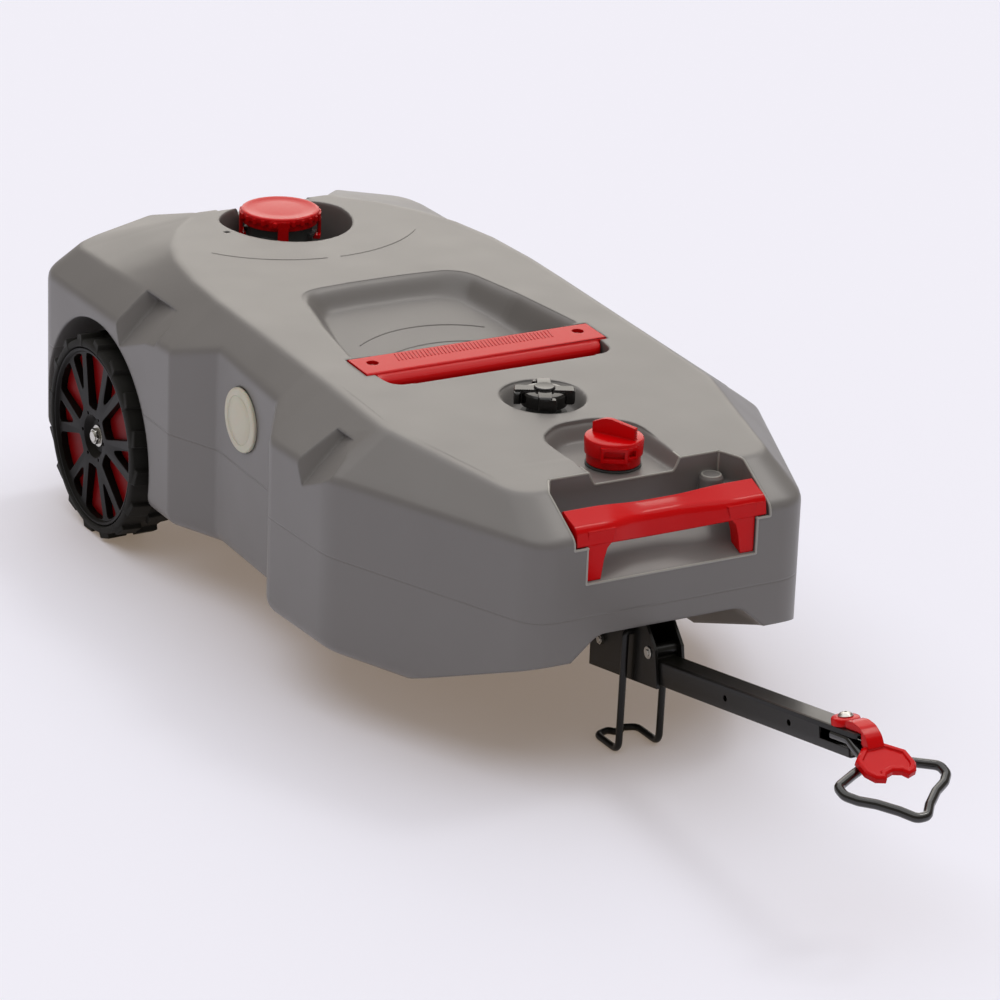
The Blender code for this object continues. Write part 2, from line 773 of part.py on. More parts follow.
def recesses(grow):
    shapes = [
        wheel_arch(-1, grow),
        wheel_arch(1, grow),
        axle_channel(grow),
        nose_ramp(grow),
        bay(grow),
        *scoop(grow),
        handle_ledge(grow),
        inlet_pocket(grow),
        hose_dish(grow),
        vent_recess(grow),
        *handle_recess(grow),
    ]
    for side in (-1, 1):
        shapes.append(strap_notch(side, HOUSING_HALF, from_rear(REAR_NOTCH_FROM_REAR), grow))
        shapes.append(strap_notch(side, FRONT_HALF - 0.004, from_front(FRONT_NOTCH_FROM_FRONT), grow))
    return shapes


def bore(radius, deep, centre, axis="Z"):
    """A hole through the tank's wall whose flat sides clear a round neck."""
    sides = 20
    reach = radius / cos(pi / sides)
    profile = [(0, -deep), (reach, -deep), (reach, deep), (0, deep)]
    return turned(profile, centre, axis, sides, BORE_PHASE)


def make_tank(materials):
    tank = from_bmesh("tank_shell", tank_solid(0), materials["tank"])
    cut(tank, *recesses(0))
    hollow = guide("tank_hollow", tank_solid(TANK_WALL))
    cut(hollow, *recesses(TANK_WALL))
    cut(tank, hollow)
    through = 3 * TANK_WALL
    cut(
        tank,
        bore(NECK_RADIUS + GAP, through, (0, INLET_Y, POCKET_FLOOR_Z)),
        bore(HOSE_NECK_RADIUS + GAP, through, (0, HOSE_Y, hose_floor_z())),
        bore(VENT_NECK_RADIUS + GAP, through, (0, VENT_Y, VENT_FLOOR_Z)),
        bore(GAUGE_NECK_RADIUS + GAP, through, (gauge_seat_x(), GAUGE_Y, GAUGE_Z), "X"),
        cylinder(GAUGE_RADIUS + 2 * GAP, -0.02, 0, (gauge_seat_x(), GAUGE_Y, GAUGE_Z), "X", 24),
    )
    hole_top = deck_z(TETHER_Y) + 0.01
    cut(
        tank,
        cylinder(TETHER_RADIUS, deck_z(TETHER_Y) - HOLE_DEPTH, hole_top, (-TETHER_X, TETHER_Y, 0), "Z", 16),
    )
    cut(tank, *tank_screw_holes())
    return tank


# Fasteners into the tank's wall: (name, underside of the head, way its head looks, grip, kind).


def fasteners():
    handle_y = (HANDLE_FRONT_Y + HANDLE_REAR_Y) / 2
    handle_top = handle_top_z(handle_y) + 2 * GAP
    handle_grip = HANDLE_PLATE + 3 * GAP
    ear_y = from_front(EAR_STEP) + EAR_LENGTH / 2 + 0.001
    made = []
    for side, word in ((-1, "left"), (1, "right")):
        made.append(
            (
                f"deck_handle_screw_{word}",
                (side * HANDLE_SCREW_X, handle_y, handle_top),
                1,
                handle_grip,
                "screw",
            )
        )
        ear = (side * EAR_SCREW_X, ear_y, EAR_SHELF_Z + EAR_THICKNESS + 2 * GAP)
        made.append((f"front_handle_screw_{word}", ear, 1, EAR_THICKNESS + 2 * GAP, "screw"))
        for way, end in ((-1, "front"), (1, "rear")):
            tab = (side * STRAP_X, AXLE_Y + way * STRAP_SCREW_Y, AXLE_Z - STRAP_GAUGE - 2 * GAP)
            made.append((f"axle_strap_screw_{word}_{end}", tab, -1, STRAP_GAUGE + 2 * GAP, "screw"))
    for distance, end in (
        (BRACKET_BOLT_FIRST, "front"), (BRACKET_BOLT_FIRST + BRACKET_BOLT_SPACING, "rear")
    ):
        seat = (0, from_front(distance), BAY_TOP_Z - BRACKET_GAUGE - 2 * GAP)
        made.append((f"bracket_bolt_{end}", seat, -1, BRACKET_GAUGE + 2 * GAP, "bolt"))
    return made


FASTENER_SIZES = {
    # kind: (head radius, head height, shank radius, sides of the head)
    "screw": (0.0065, 0.0032, 0.0022, 10),
    "bolt": (0.0075, 0.0050, 0.0035, 6),
}


def tank_screw_holes():
    holes = []
    for _, seat, way, grip, kind in fasteners():
        radius = FASTENER_SIZES[kind][2] + GAP
        x, y, z = seat
        face = z - way * grip
        low, high = sorted((face + way * 0.003, face - way * HOLE_DEPTH))
        holes.append(cylinder(radius, low, high, (x, y, 0), "Z", 8))
    return holes


def fastener_holes(*names):
    """Clearance holes through the pieces that the named fasteners hold."""
    holes = []
    for name, (x, y, z), way, grip, kind in fasteners():
        if name.startswith(names):
            radius = FASTENER_SIZES[kind][2] + GAP
            low, high = sorted((z + way * 0.004, z - way * (grip + 0.004)))
            holes.append(cylinder(radius, low, high, (x, y, 0), "Z", 8))
    return holes


def make_fasteners(materials):
    for name, seat, way, grip, kind in fasteners():
        head, height, shank, sides = FASTENER_SIZES[kind]
        reach = grip + HOLE_DEPTH - 2 * GAP
        steps = 8
        body = cylinder(shank, *sorted((way * 0.5 * height, -way * reach)), seat, "Z", steps)
        piece = from_bmesh(name, body, materials["steel"])
        if kind == "bolt":
            join(piece, cylinder(head, *sorted((0, way * height)), seat, "Z", sides))
            continue
        dome = [(0, 0), (head, 0), (head, 0.45 * height), (0.6 * head, height), (0, height)]
        join(piece, turned([(radius, way * rise) for radius, rise in dome], seat, "Z", sides))


# Sewer inlet


def sector(inner, outer, start, end, low, high, centre, steps=3):
    """A block between two radii and two angles, in degrees, round a vertical axis."""
    angles = [radians(start + (end - start) * k / steps) for k in range(steps + 1)]
    arc = [(outer * cos(a), outer * sin(a)) for a in angles]
    arc += [(inner * cos(a), inner * sin(a)) for a in reversed(angles)]
    return prism([(centre[0] + x, centre[1] + y) for x, y in arc], low, high)


def make_inlet(materials):
    centre = (0, INLET_Y, 0)
    floor = POCKET_FLOOR_Z + GAP
    profile = [
        (NECK_BORE, POCKET_FLOOR_Z - TANK_WALL - 0.002),
        (NECK_RADIUS, POCKET_FLOOR_Z - TANK_WALL - 0.002),
        (NECK_RADIUS, floor),
        (NECK_FLANGE, floor),
        (NECK_FLANGE, floor + 0.004),
        (NECK_RADIUS, floor + 0.006),
        (NECK_RADIUS, NECK_TOP_Z),
        (NECK_BORE, NECK_TOP_Z),
    ]
    neck = from_bmesh("inlet_neck", turned(profile, centre, steps=28), materials["neck"])
    for k in range(HOOK_COUNT):
        middle = (k + 0.5) * 360 / HOOK_COUNT
        join(
            neck,
            sector(
                NECK_RADIUS - 0.002,
                LUG_REACH,
                middle - 15,
                middle + 15,
                LUG_LOW_Z,
                LUG_LOW_Z + 0.0045,
                centre,
            ),
        )
    low = NECK_TOP_Z + GAP
    high = low + SEAL_THICKNESS
    ring = [
        (NECK_BORE + 0.001, low),
        (NECK_RADIUS - 0.001, low),
        (NECK_RADIUS - 0.001, high),
        (NECK_BORE + 0.001, high),
    ]
    from_bmesh("inlet_seal", turned(ring, centre, steps=20), materials["seal"], origin=(0, INLET_Y, low))
    under = high + GAP
    top = under + 0.0104
    skirt = top - INLET_CAP_RIM
    inner = INLET_CAP_RADIUS - 0.0035
    cap_profile = [
        (0, under),
        (inner, under),
        (inner, skirt),
        (INLET_CAP_RADIUS, skirt),
        (INLET_CAP_RADIUS, top - 0.002),
        (INLET_CAP_RADIUS - 0.002, top),
        (0, top),
    ]
    cap = from_bmesh(
        "inlet_cap", turned(cap_profile, centre, steps=32), materials["red"], origin=(0, INLET_Y, under)
    )
    toe_top = LUG_LOW_Z - 3 * GAP
    toe_low = toe_top - 0.0045
    sink = 0.0007
    for k in range(HOOK_COUNT):
        middle = k * 360 / HOOK_COUNT
        join(
            cap,
            sector(
                inner + sink,
                INLET_CAP_RADIUS - sink,
                middle - 12,
                middle + 12,
                toe_low,
                skirt + 0.003,
                centre,
            ),
            sector(
                LUG_REACH - 0.0035,
                inner + 2 * sink,
                middle - 11,
                middle + 11,
                toe_low + GAP,
                toe_top,
                centre,
            ),
        )
    join(
        cap,
        cylinder(0.006, under + 0.002, top + 0.006, (0, INLET_Y - INLET_CAP_RADIUS + 0.008, 0), "Z", 16),
    )


# Hose port and vent: both have a fitting in the tank, a seal on its rim and a screw cap


def hose_floor_z():
    return deck_z(HOSE_Y) - DISH_DEPTH


def make_fitting(name, centre, floor, bore_radius, neck_radius, flange, top, material):
    profile = [
        (bore_radius, floor - TANK_WALL - 0.002),
        (neck_radius, floor - TANK_WALL - 0.002),
        (neck_radius, floor + GAP),
        (flange, floor + GAP),
        (flange, floor + 0.003),
        (neck_radius, floor + 0.003),
        (neck_radius, top),
        (bore_radius, top),
    ]
    return from_bmesh(name, turned(profile, centre, steps=20), material)


def make_seal(name, centre, inner, outer, low, material):
    high = low + SEAL_THICKNESS
    ring = [(inner, low), (outer, low), (outer, high), (inner, high)]
    return from_bmesh(name, turned(ring, centre, steps=20), material, origin=(*centre[:2], low))


def make_hose_port(materials):
    centre = (0, HOSE_Y, 0)
    floor = hose_floor_z()
    rim = floor + HOSE_NECK_HEIGHT
    neck_bore = HOSE_NECK_RADIUS - 0.005
    make_fitting(
        "hose_fitting", centre, floor, neck_bore, HOSE_NECK_RADIUS, HOSE_CAP_RADIUS, rim, materials["neck"]
    )
    make_seal(
        "hose_seal", centre, neck_bore + 0.001, HOSE_NECK_RADIUS - 0.001, rim + GAP, materials["seal"]
    )
    roof = rim + 2 * GAP + SEAL_THICKNESS + GAP
    top = roof + HOSE_CAP_ROOF
    low = top - HOSE_CAP_HEIGHT
    steps = 8 * HOSE_LOBES
    outline = []
    for k in range(steps):
        angle = 2 * pi * k / steps
        wave = 0.5 + 0.5 * cos(HOSE_LOBES * angle)
        radius = HOSE_CAP_RADIUS + (HOSE_LOBE_REACH - HOSE_CAP_RADIUS) * wave
        outline.append((radius * cos(angle), HOSE_Y + radius * sin(angle)))
    cap = from_bmesh("hose_cap", prism(outline, low, top), materials["black"], origin=(0, HOSE_Y, roof))
    cut(cap, cylinder(HOSE_NECK_RADIUS + 5 * GAP, low - 0.01, roof, centre, "Z", 32))


def make_vent(materials):
    centre = (0, VENT_Y, 0)
    floor = VENT_FLOOR_Z
    rim = floor + VENT_NECK_HEIGHT
    neck_bore = VENT_NECK_RADIUS - 0.006
    make_fitting(
        "vent_fitting",
        centre,
        floor,
        neck_bore,
        VENT_NECK_RADIUS,
        VENT_CAP_RADIUS - 0.001,
        rim,
        materials["neck"],
    )
    make_seal(
        "vent_seal", centre, neck_bore + 0.001, VENT_NECK_RADIUS - 0.001, rim + GAP, materials["seal"]
    )
    roof = rim + 3 * GAP + SEAL_THICKNESS
    top = roof + VENT_CAP_ROOF
    low = floor + 0.004
    inner = VENT_NECK_RADIUS + 5 * GAP
    profile = [
        (0, roof),
        (inner, roof),
        (inner, low),
        (VENT_CAP_RADIUS, low),
        (VENT_CAP_RADIUS, top - 0.004),
        (VENT_CAP_RADIUS - 0.004, top),
        (0, top),
    ]
    cap = from_bmesh(
        "vent_cap", turned(profile, centre, steps=24), materials["red"], origin=(0, VENT_Y, roof)
    )
    half = VENT_CAP_RADIUS - 0.004
    arch = [(half * cos(pi * k / 12), top + VENT_FIN_HEIGHT * sin(pi * k / 12)) for k in range(13)]
    fin = prism([*arch, (-half, top - 0.002), (half, top - 0.002)], VENT_Y - 0.004, VENT_Y + 0.004, "Y")
    join(cap, fin)


def gauge_seat_x():
    return -(WAIST_HALF - 0.0012)


def make_gauge(materials):
    seat = gauge_seat_x()
    centre = (seat, GAUGE_Y, GAUGE_Z)
    seal_face = -GAP - SEAL_THICKNESS
    ring = [(GAUGE_NECK_RADIUS + 0.001, -GAP), (GAUGE_RADIUS - 0.004, -GAP)]
    ring += [(GAUGE_RADIUS - 0.004, seal_face), (GAUGE_NECK_RADIUS + 0.001, seal_face)]
    from_bmesh("gauge_seal", turned(ring, centre, "X", 20), materials["seal"])
    back = seal_face - GAP
    profile = [
        (0, TANK_WALL + 0.006),
        (GAUGE_NECK_RADIUS, TANK_WALL + 0.006),
        (GAUGE_NECK_RADIUS, back),
        (GAUGE_RADIUS, back),
        (GAUGE_RADIUS, back - 0.003),
        (GAUGE_RADIUS - 0.003, back - 0.0045),
        (0.6 * GAUGE_RADIUS, back - 0.0062),
        (0, back - 0.0068),
    ]
    from_bmesh("level_gauge", turned(profile, centre, "X", 24), materials["cream"])


# Handles


def make_deck_handle(materials):
    front = HANDLE_FRONT_Y
    rear = HANDLE_REAR_Y
    bend = 0.004
    outline = [
        (front + bend, handle_base_z(front + bend)),
        (rear, handle_base_z(rear)),
        (rear, handle_top_z(rear) - 0.003),
        (rear - 0.003, handle_top_z(rear)),
        (front + bend, handle_top_z(front + bend)),
        (front, handle_top_z(front) - bend),
        (front, handle_base_z(front)),
    ]
    handle = from_bmesh("deck_handle", prism(outline, -HANDLE_HALF, HANDLE_HALF, "X"), materials["red"])
    low = handle_top_z(front) - HANDLE_LIP
    top = handle_top_z(front)
    lip = [
        (front + 0.002, top - 0.0045),
        (front - 0.45 * HANDLE_ROLL, top - 0.008),
        (front - 0.9 * HANDLE_ROLL, top - 0.015),
        (front - HANDLE_ROLL, low + 0.007),
        (front - 0.75 * HANDLE_ROLL, low + 0.001),
        (front - 0.3 * HANDLE_ROLL, low),
        (front + 0.4 * HANDLE_LIP_THICKNESS, low + 0.004),
        (front + HANDLE_LIP_THICKNESS, low + 0.012),
        (front + HANDLE_LIP_THICKNESS, handle_base_z(front) + 0.002),
    ]
    join(handle, prism(lip, -HANDLE_BAR_HALF, HANDLE_BAR_HALF, "X"))
    cut(handle, *fastener_holes("deck_handle_screw"))


def grip_section(x, rear, rear_z, front, front_z, low):
    """The grip's hooked section at one place: a top plate that bends down into a front skirt."""
    wall = GRIP_WALL
    slope = (rear_z - front_z) / (rear - front)
    points = [
        (rear, rear_z - 0.002),
        (rear - 0.003, rear_z),
        (front + 0.009, front_z + 0.009 * slope),
        (front + 0.003, front_z - 0.002),
        (front, front_z - 0.009),
        (front - 0.003, low + 0.002),
        (front - 0.001, low),
        (front - 0.003 + wall, low),
        (front + wall, front_z - wall - 0.004),
        (front + wall + 0.004, front_z - wall),
        (rear, rear_z - wall),
    ]
    return [Vector((x, from_front(y), z)) for y, z in points]


def make_front_handle(materials):
    middle = (0.0466, 0.338, 0.0225, 0.327, 0.300)
    end = (0.0420, GRIP_TOP_REAR_Z, 0.0060, GRIP_TOP_FRONT_Z, END_SHELF_Z + GAP)
    sections = []
    for x in (-GRIP_HALF, -0.094, -0.060, -0.020, 0.020, 0.060, 0.094, GRIP_HALF):
        share = min(max((abs(x) - 0.020) / 0.074, 0), 1)
        share = share * share * (3 - 2 * share)
        numbers = [a + (b - a) * share for a, b in zip(middle, end)]
        sections.append(grip_section(x, *numbers))
    handle = from_bmesh("front_handle", loft(sections), materials["red"])
    slope = (WELL_REAR_Z - WELL_FRONT_Z) / RECESS_REAR

    def floor(depth):
        return WELL_FRONT_Z + slope * depth + GAP

    leg = [(0.0035, floor(0.0035)), (0.022, floor(0.022)), (0.022, 0.327), (0.0035, 0.327)]
    leg = [(from_front(depth), z) for depth, z in leg]
    block = [
        (0.0045, END_SHELF_Z + GAP),
        (EAR_STEP - 0.001, END_SHELF_Z + GAP),
        (EAR_STEP - 0.001, 0.337),
        (0.0045, 0.326),
    ]
    block = [(from_front(depth), z) for depth, z in block]
    for side in (-1, 1):
        low, high = sorted((side * GRIP_FOOT_INNER, side * GRIP_FOOT_OUTER))
        join(handle, prism(leg, low, high, "X"))
        low, high = sorted((side * (GRIP_FOOT_OUTER - 0.002), side * (GRIP_HALF - 0.0005)))
        upper = [(y, max(z, END_SHELF_Z + GAP)) for y, z in block]
        join(handle, prism(upper, low, high, "X"))
        low, high = sorted((side * (GRIP_HALF - EAR_WIDTH), side * (GRIP_HALF + 0.001)))
        ear_front = from_front(EAR_STEP - 0.008)
        ear_rear = from_front(EAR_STEP) + EAR_LENGTH + 0.004
        ear = box((low, ear_front, EAR_SHELF_Z + GAP), (high, ear_rear, EAR_SHELF_Z + GAP + EAR_THICKNESS))
        join(handle, ear)
    cut(handle, *fastener_holes("front_handle_screw"))


# Wheels and axle


def lug_angles():
    """Angles of the tread, as (angle, whether a lug stands there)."""
    pitch = 2 * pi / LUG_COUNT
    made = []
    for k in range(LUG_COUNT):
        for share, lug in ((0.04, True), (0.50, True), (0.58, False), (0.96, False)):
            made.append(((k + share) * pitch, lug))
    return made


def tyre_shape(side):
    widest_step = 0.46 * 2 * pi / LUG_COUNT
    bore_radius = RIM_RADIUS / cos(widest_step / 2) + GAP
    rows = [
        # (distance in from the outer face, plain radius or None on the lugs, lug phase)
        (0.0000, bore_radius, 0),
        (0.0008, 0.1305, 0),
        (0.0060, None, 0),
        (0.46 * WHEEL_WIDTH, None, 0),
        (0.54 * WHEEL_WIDTH, None, 0.5),
        (WHEEL_WIDTH - 0.006, None, 0.5),
        (WHEEL_WIDTH - 0.0008, 0.1305, 0),
        (WHEEL_WIDTH, bore_radius, 0),
    ]
    angles = lug_angles()
    shift = len(angles) // LUG_COUNT // 2
    shape = bmesh.new()
    rings = []
    for inwards, radius, phase in rows:
        ring = []
        for k, (angle, _) in enumerate(angles):
            lug = angles[(k + (shift if phase else 0)) % len(angles)][1]
            reach = radius or (WHEEL_RADIUS if lug else TREAD_RADIUS)
            point = (
                side * (WHEEL_OUTER_X - inwards), AXLE_Y + reach * cos(angle), AXLE_Z + reach * sin(angle)
            )
            ring.append(shape.verts.new(point))
        rings.append(ring)
    count = len(angles)
    for one, two in zip(rings, rings[1:] + rings[:1]):
        for k in range(count):
            j = (k + 1) % count
            shape.faces.new((one[k], one[j], two[j], two[k]))
    return shape


def polar_hole(corners, turn):
    """A hole through the wheel, from (radius, degrees) corners turned round the axle."""
    points = []
    for radius, degrees_off in corners:
        angle = turn + radians(degrees_off)
        points.append((AXLE_Y + radius * cos(angle), AXLE_Z + radius * sin(angle)))
    return points


def wheel_holes(side):
    wide = [
        (SPOKE_REACH, -15),
        (SPOKE_REACH, -5),
        (SPOKE_REACH, 5),
        (SPOKE_REACH, 15),
        (0.044, 12),
        (0.044, -12),
    ]
    narrow = [(SPOKE_REACH - 0.002, -7), (SPOKE_REACH - 0.002, 7), (0.058, 0)]
    low, high = sorted((side * (WHEEL_OUTER_X - 0.03), side * (WHEEL_OUTER_X + 0.01)))
    holes = []
    for k in range(SPOKE_COUNT):
        turn = 2 * pi * k / SPOKE_COUNT
        holes.append(prism(polar_hole(narrow, turn), low, high, "X"))
        holes.append(prism(polar_hole(wide, turn + pi / SPOKE_COUNT), low, high, "X"))
    return holes


def make_wheel(side, word, materials):
    centre = (0, AXLE_Y, AXLE_Z)
    axle_point = (side * (WHEEL_OUTER_X - WHEEL_WIDTH / 2), AXLE_Y, AXLE_Z)
    inner = WHEEL_OUTER_X - WHEEL_WIDTH + 0.002
    outer = WHEEL_OUTER_X - 0.002
    face = WHEEL_OUTER_X - SPOKE_FACE_DEPTH
    back = face - SPOKE_THICKNESS
    hub_face = WHEEL_OUTER_X - HUB_RECESS

    def turned_part(name, profile, material, steps=32):
        points = [(radius, side * x) for radius, x in profile]
        return from_bmesh(name, turned(points, centre, "X", steps, RIM_PHASE), material, origin=axle_point)

    from_bmesh(f"{word}_tyre", tyre_shape(side), materials["tyre"], origin=axle_point)
    barrel = RIM_RADIUS - RIM_BARREL
    seat = BUSH_RADIUS + GAP
    rim = turned_part(
        f"{word}_rim",
        [
            (seat, inner),
            (seat, hub_face),
            (HUB_RADIUS + 0.002, hub_face),
            (HUB_RADIUS + 0.010, face),
            (barrel, face),
            (barrel + 0.001, outer),
            (RIM_RADIUS, outer),
            (RIM_RADIUS, inner),
            (barrel, inner),
            (barrel, back),
            (HUB_RADIUS, back),
            (HUB_RADIUS, inner),
        ],
        materials["rim"],
    )
    cut(rim, *wheel_holes(side))
    plate = back - GAP
    turned_part(
        f"{word}_wheel_disc",
        [
            (HUB_RADIUS + GAP, plate),
            (barrel - GAP, plate),
            (barrel - GAP, plate - 0.003),
            (HUB_RADIUS + GAP, plate - 0.003),
        ],
        materials["red"],
    )
    shaft = AXLE_RADIUS + RUN
    turned_part(
        f"{word}_hub_bush",
        [(shaft, inner), (BUSH_RADIUS, inner), (BUSH_RADIUS, hub_face), (shaft, hub_face)],
        materials["neck"],
        24,
    )
    washer_low = hub_face + GAP
    washer_high = washer_low + WASHER_THICKNESS
    turned_part(
        f"{word}_axle_washer",
        [
            (shaft, washer_low),
            (WASHER_RADIUS, washer_low),
            (WASHER_RADIUS, washer_high),
            (shaft, washer_high),
        ],
        materials["steel"],
        24,
    )
    nut_low = washer_high + GAP
    nut = from_bmesh(
        f"{word}_axle_nut",
        cylinder(NUT_RADIUS, *sorted((side * nut_low, side * (nut_low + NUT_HEIGHT))), centre, "X", 6),
        materials["steel"],
    )
    cut(nut, cylinder(AXLE_RADIUS + GAP, -1, 1, centre, "X", 16))
    spacer = [
        (shaft, ARCH_INNER_X + GAP),
        (SPACER_RADIUS, ARCH_INNER_X + GAP),
        (SPACER_RADIUS, inner - GAP),
        (shaft, inner - GAP),
    ]
    points = [(radius, side * x) for radius, x in spacer]
    from_bmesh(f"{word}_axle_spacer", turned(points, centre, "X", 24), materials["black"])


def make_axle(materials):
    reach = WHEEL_OUTER_X - 0.003
    centre = (0, AXLE_Y, AXLE_Z)
    profile = [(0, -reach), (AXLE_RADIUS - 0.001, -reach), (AXLE_RADIUS, 0.001 - reach)]
    profile += [(AXLE_RADIUS, reach - 0.001), (AXLE_RADIUS - 0.001, reach), (0, reach)]
    from_bmesh("axle", turned(profile, centre, "X", 24), materials["steel"])
    inner = AXLE_RADIUS + GAP
    outer = inner + STRAP_GAUGE
    steps = 10
    down = [pi + pi * k / steps for k in range(steps + 1)]
    inside = [(inner * cos(a), inner * sin(a)) for a in down if sin(a) < -0.05]
    outside = [
        (outer * cos(a), outer * sin(a)) for a in reversed(down) if outer * sin(a) < -GAP - STRAP_GAUGE
    ]
    outline = [
        (-STRAP_HALF_LENGTH, -GAP),
        (-inner, -GAP),
        *inside,
        (inner, -GAP),
        (STRAP_HALF_LENGTH, -GAP),
        (STRAP_HALF_LENGTH, -GAP - STRAP_GAUGE),
        (sqrt(outer**2 - (GAP + STRAP_GAUGE) ** 2), -GAP - STRAP_GAUGE),
        *outside,
        (-sqrt(outer**2 - (GAP + STRAP_GAUGE) ** 2), -GAP - STRAP_GAUGE),
        (-STRAP_HALF_LENGTH, -GAP - STRAP_GAUGE),
    ]
    outline = [(AXLE_Y + y, AXLE_Z + z) for y, z in outline]
    for side, word in ((-1, "left"), (1, "right")):
        low = side * STRAP_X - STRAP_WIDTH / 2
        strap = from_bmesh(
            f"axle_strap_{word}", prism(outline, low, low + STRAP_WIDTH, "X"), materials["steel"]
        )
        cut(strap, *fastener_holes(f"axle_strap_screw_{word}"))


# Tow bracket, bar, loop and latch. The bar's frame has its origin at the hinge pin, +Y back along the
# bar and +Z out of its top.

BAR_FRAME = Matrix.Translation((0, HINGE_Y, HINGE_Z)) @ Matrix.Rotation(-BRACKET_PITCH, 4, "X")
BAR_AXIS_Z = -(HINGE_SLEEVE_RADIUS - GAP + BAR_SIZE / 2)
BAR_TOP_Z = BAR_AXIS_Z + BAR_SIZE / 2
BEND_Y = LOOP_BEND_BACK - BAR_AHEAD_HINGE
LOOP_Z = BAR_AXIS_Z + LOOP_RISE
LOOP_FRAME = BAR_FRAME @ Matrix.Translation((0, BEND_Y, LOOP_Z)) @ Matrix.Rotation(
    BRACKET_PITCH + LOOP_DROOP, 4, "X"
)


def bar_placed(shape, frame=BAR_FRAME):
    bmesh.ops.transform(shape, matrix=frame, verts=shape.verts)
    return shape


def bar_box(low, high):
    return bar_placed(box(low, high))


def make_bracket(materials):
    top = BAY_TOP_Z - GAP
    pitch = tan(BRACKET_PITCH)
    outline = [
        (BRACKET_REAR, BRACKET_BOTTOM_Z),
        (BRACKET_REAR, top),
        (0.027, top),
        (-0.0035, 0.160),
        (-0.0120, BRACKET_BOTTOM_Z + (BRACKET_REAR + 0.0120) * pitch),
    ]
    outline = [(from_front(d), z) for d, z in outline]
    inside = BAR_SIZE / 2 + BAR_SIDE_PLAY
    outside = inside + BRACKET_GAUGE
    bracket = from_bmesh("tow_bracket", prism(outline, -outside, outside, "X"), materials["frame"])
    cut(
        bracket,
        box(
            (-inside, from_front(-0.05), 0), (inside, from_front(BRACKET_REAR + 0.05), top - BRACKET_GAUGE)
        ),
        cylinder(HINGE_PIN_RADIUS + RUN, -0.05, 0.05, (0, HINGE_Y, HINGE_Z), "X", 20),
        cylinder(STAND_WIRE / 2 + RUN, -0.05, 0.05, (0, STAND_Y, STAND_PIVOT_Z), "X", 20),
        cylinder(STOP_RADIUS + GAP, -0.05, 0.05, stop_centre(), "X", 16),
        *fastener_holes("bracket_bolt"),
    )
    grip = outside + GAP
    head = grip + PIN_HEAD
    pin = [
        (0, -head),
        (HINGE_PIN_RADIUS, -head),
        (HINGE_PIN_RADIUS, grip),
        (PIN_HEAD_RADIUS, grip),
        (PIN_HEAD_RADIUS, head),
        (0, head),
    ]
    from_bmesh("tow_hinge_pin", turned(pin, (0, HINGE_Y, HINGE_Z), "X", 20), materials["steel"])
    clip = [
        (HINGE_PIN_RADIUS + GAP, -grip),
        (0.0078, -grip),
        (0.0078, -grip - 0.0015),
        (HINGE_PIN_RADIUS + GAP, -grip - 0.0015),
    ]
    from_bmesh("tow_hinge_clip", turned(clip, (0, HINGE_Y, HINGE_Z), "X", 20), materials["steel"])
    tip = grip + 0.006
    stop_head = head + 0.001
    stop = [
        (0, -tip),
        (STOP_RADIUS, -tip),
        (STOP_RADIUS, grip),
        (PIN_HEAD_RADIUS, grip),
        (PIN_HEAD_RADIUS, stop_head),
        (0, stop_head),
    ]
    from_bmesh("bar_stop_bolt", turned(stop, stop_centre(), "X", 16), materials["steel"])
    nut = from_bmesh(
        "bar_stop_nut", cylinder(0.0070, -grip - 0.005, -grip, stop_centre(), "X", 6), materials["steel"]
    )
    cut(nut, cylinder(STOP_RADIUS + GAP, -0.05, 0.05, stop_centre(), "X", 16))


def stop_centre():
    """The stop bolt lies on top of the bar's tail and so holds the bar up."""
    return BAR_FRAME @ Vector((0, BAR_BEHIND_HINGE - 0.012, BAR_TOP_Z + GAP + STOP_RADIUS))


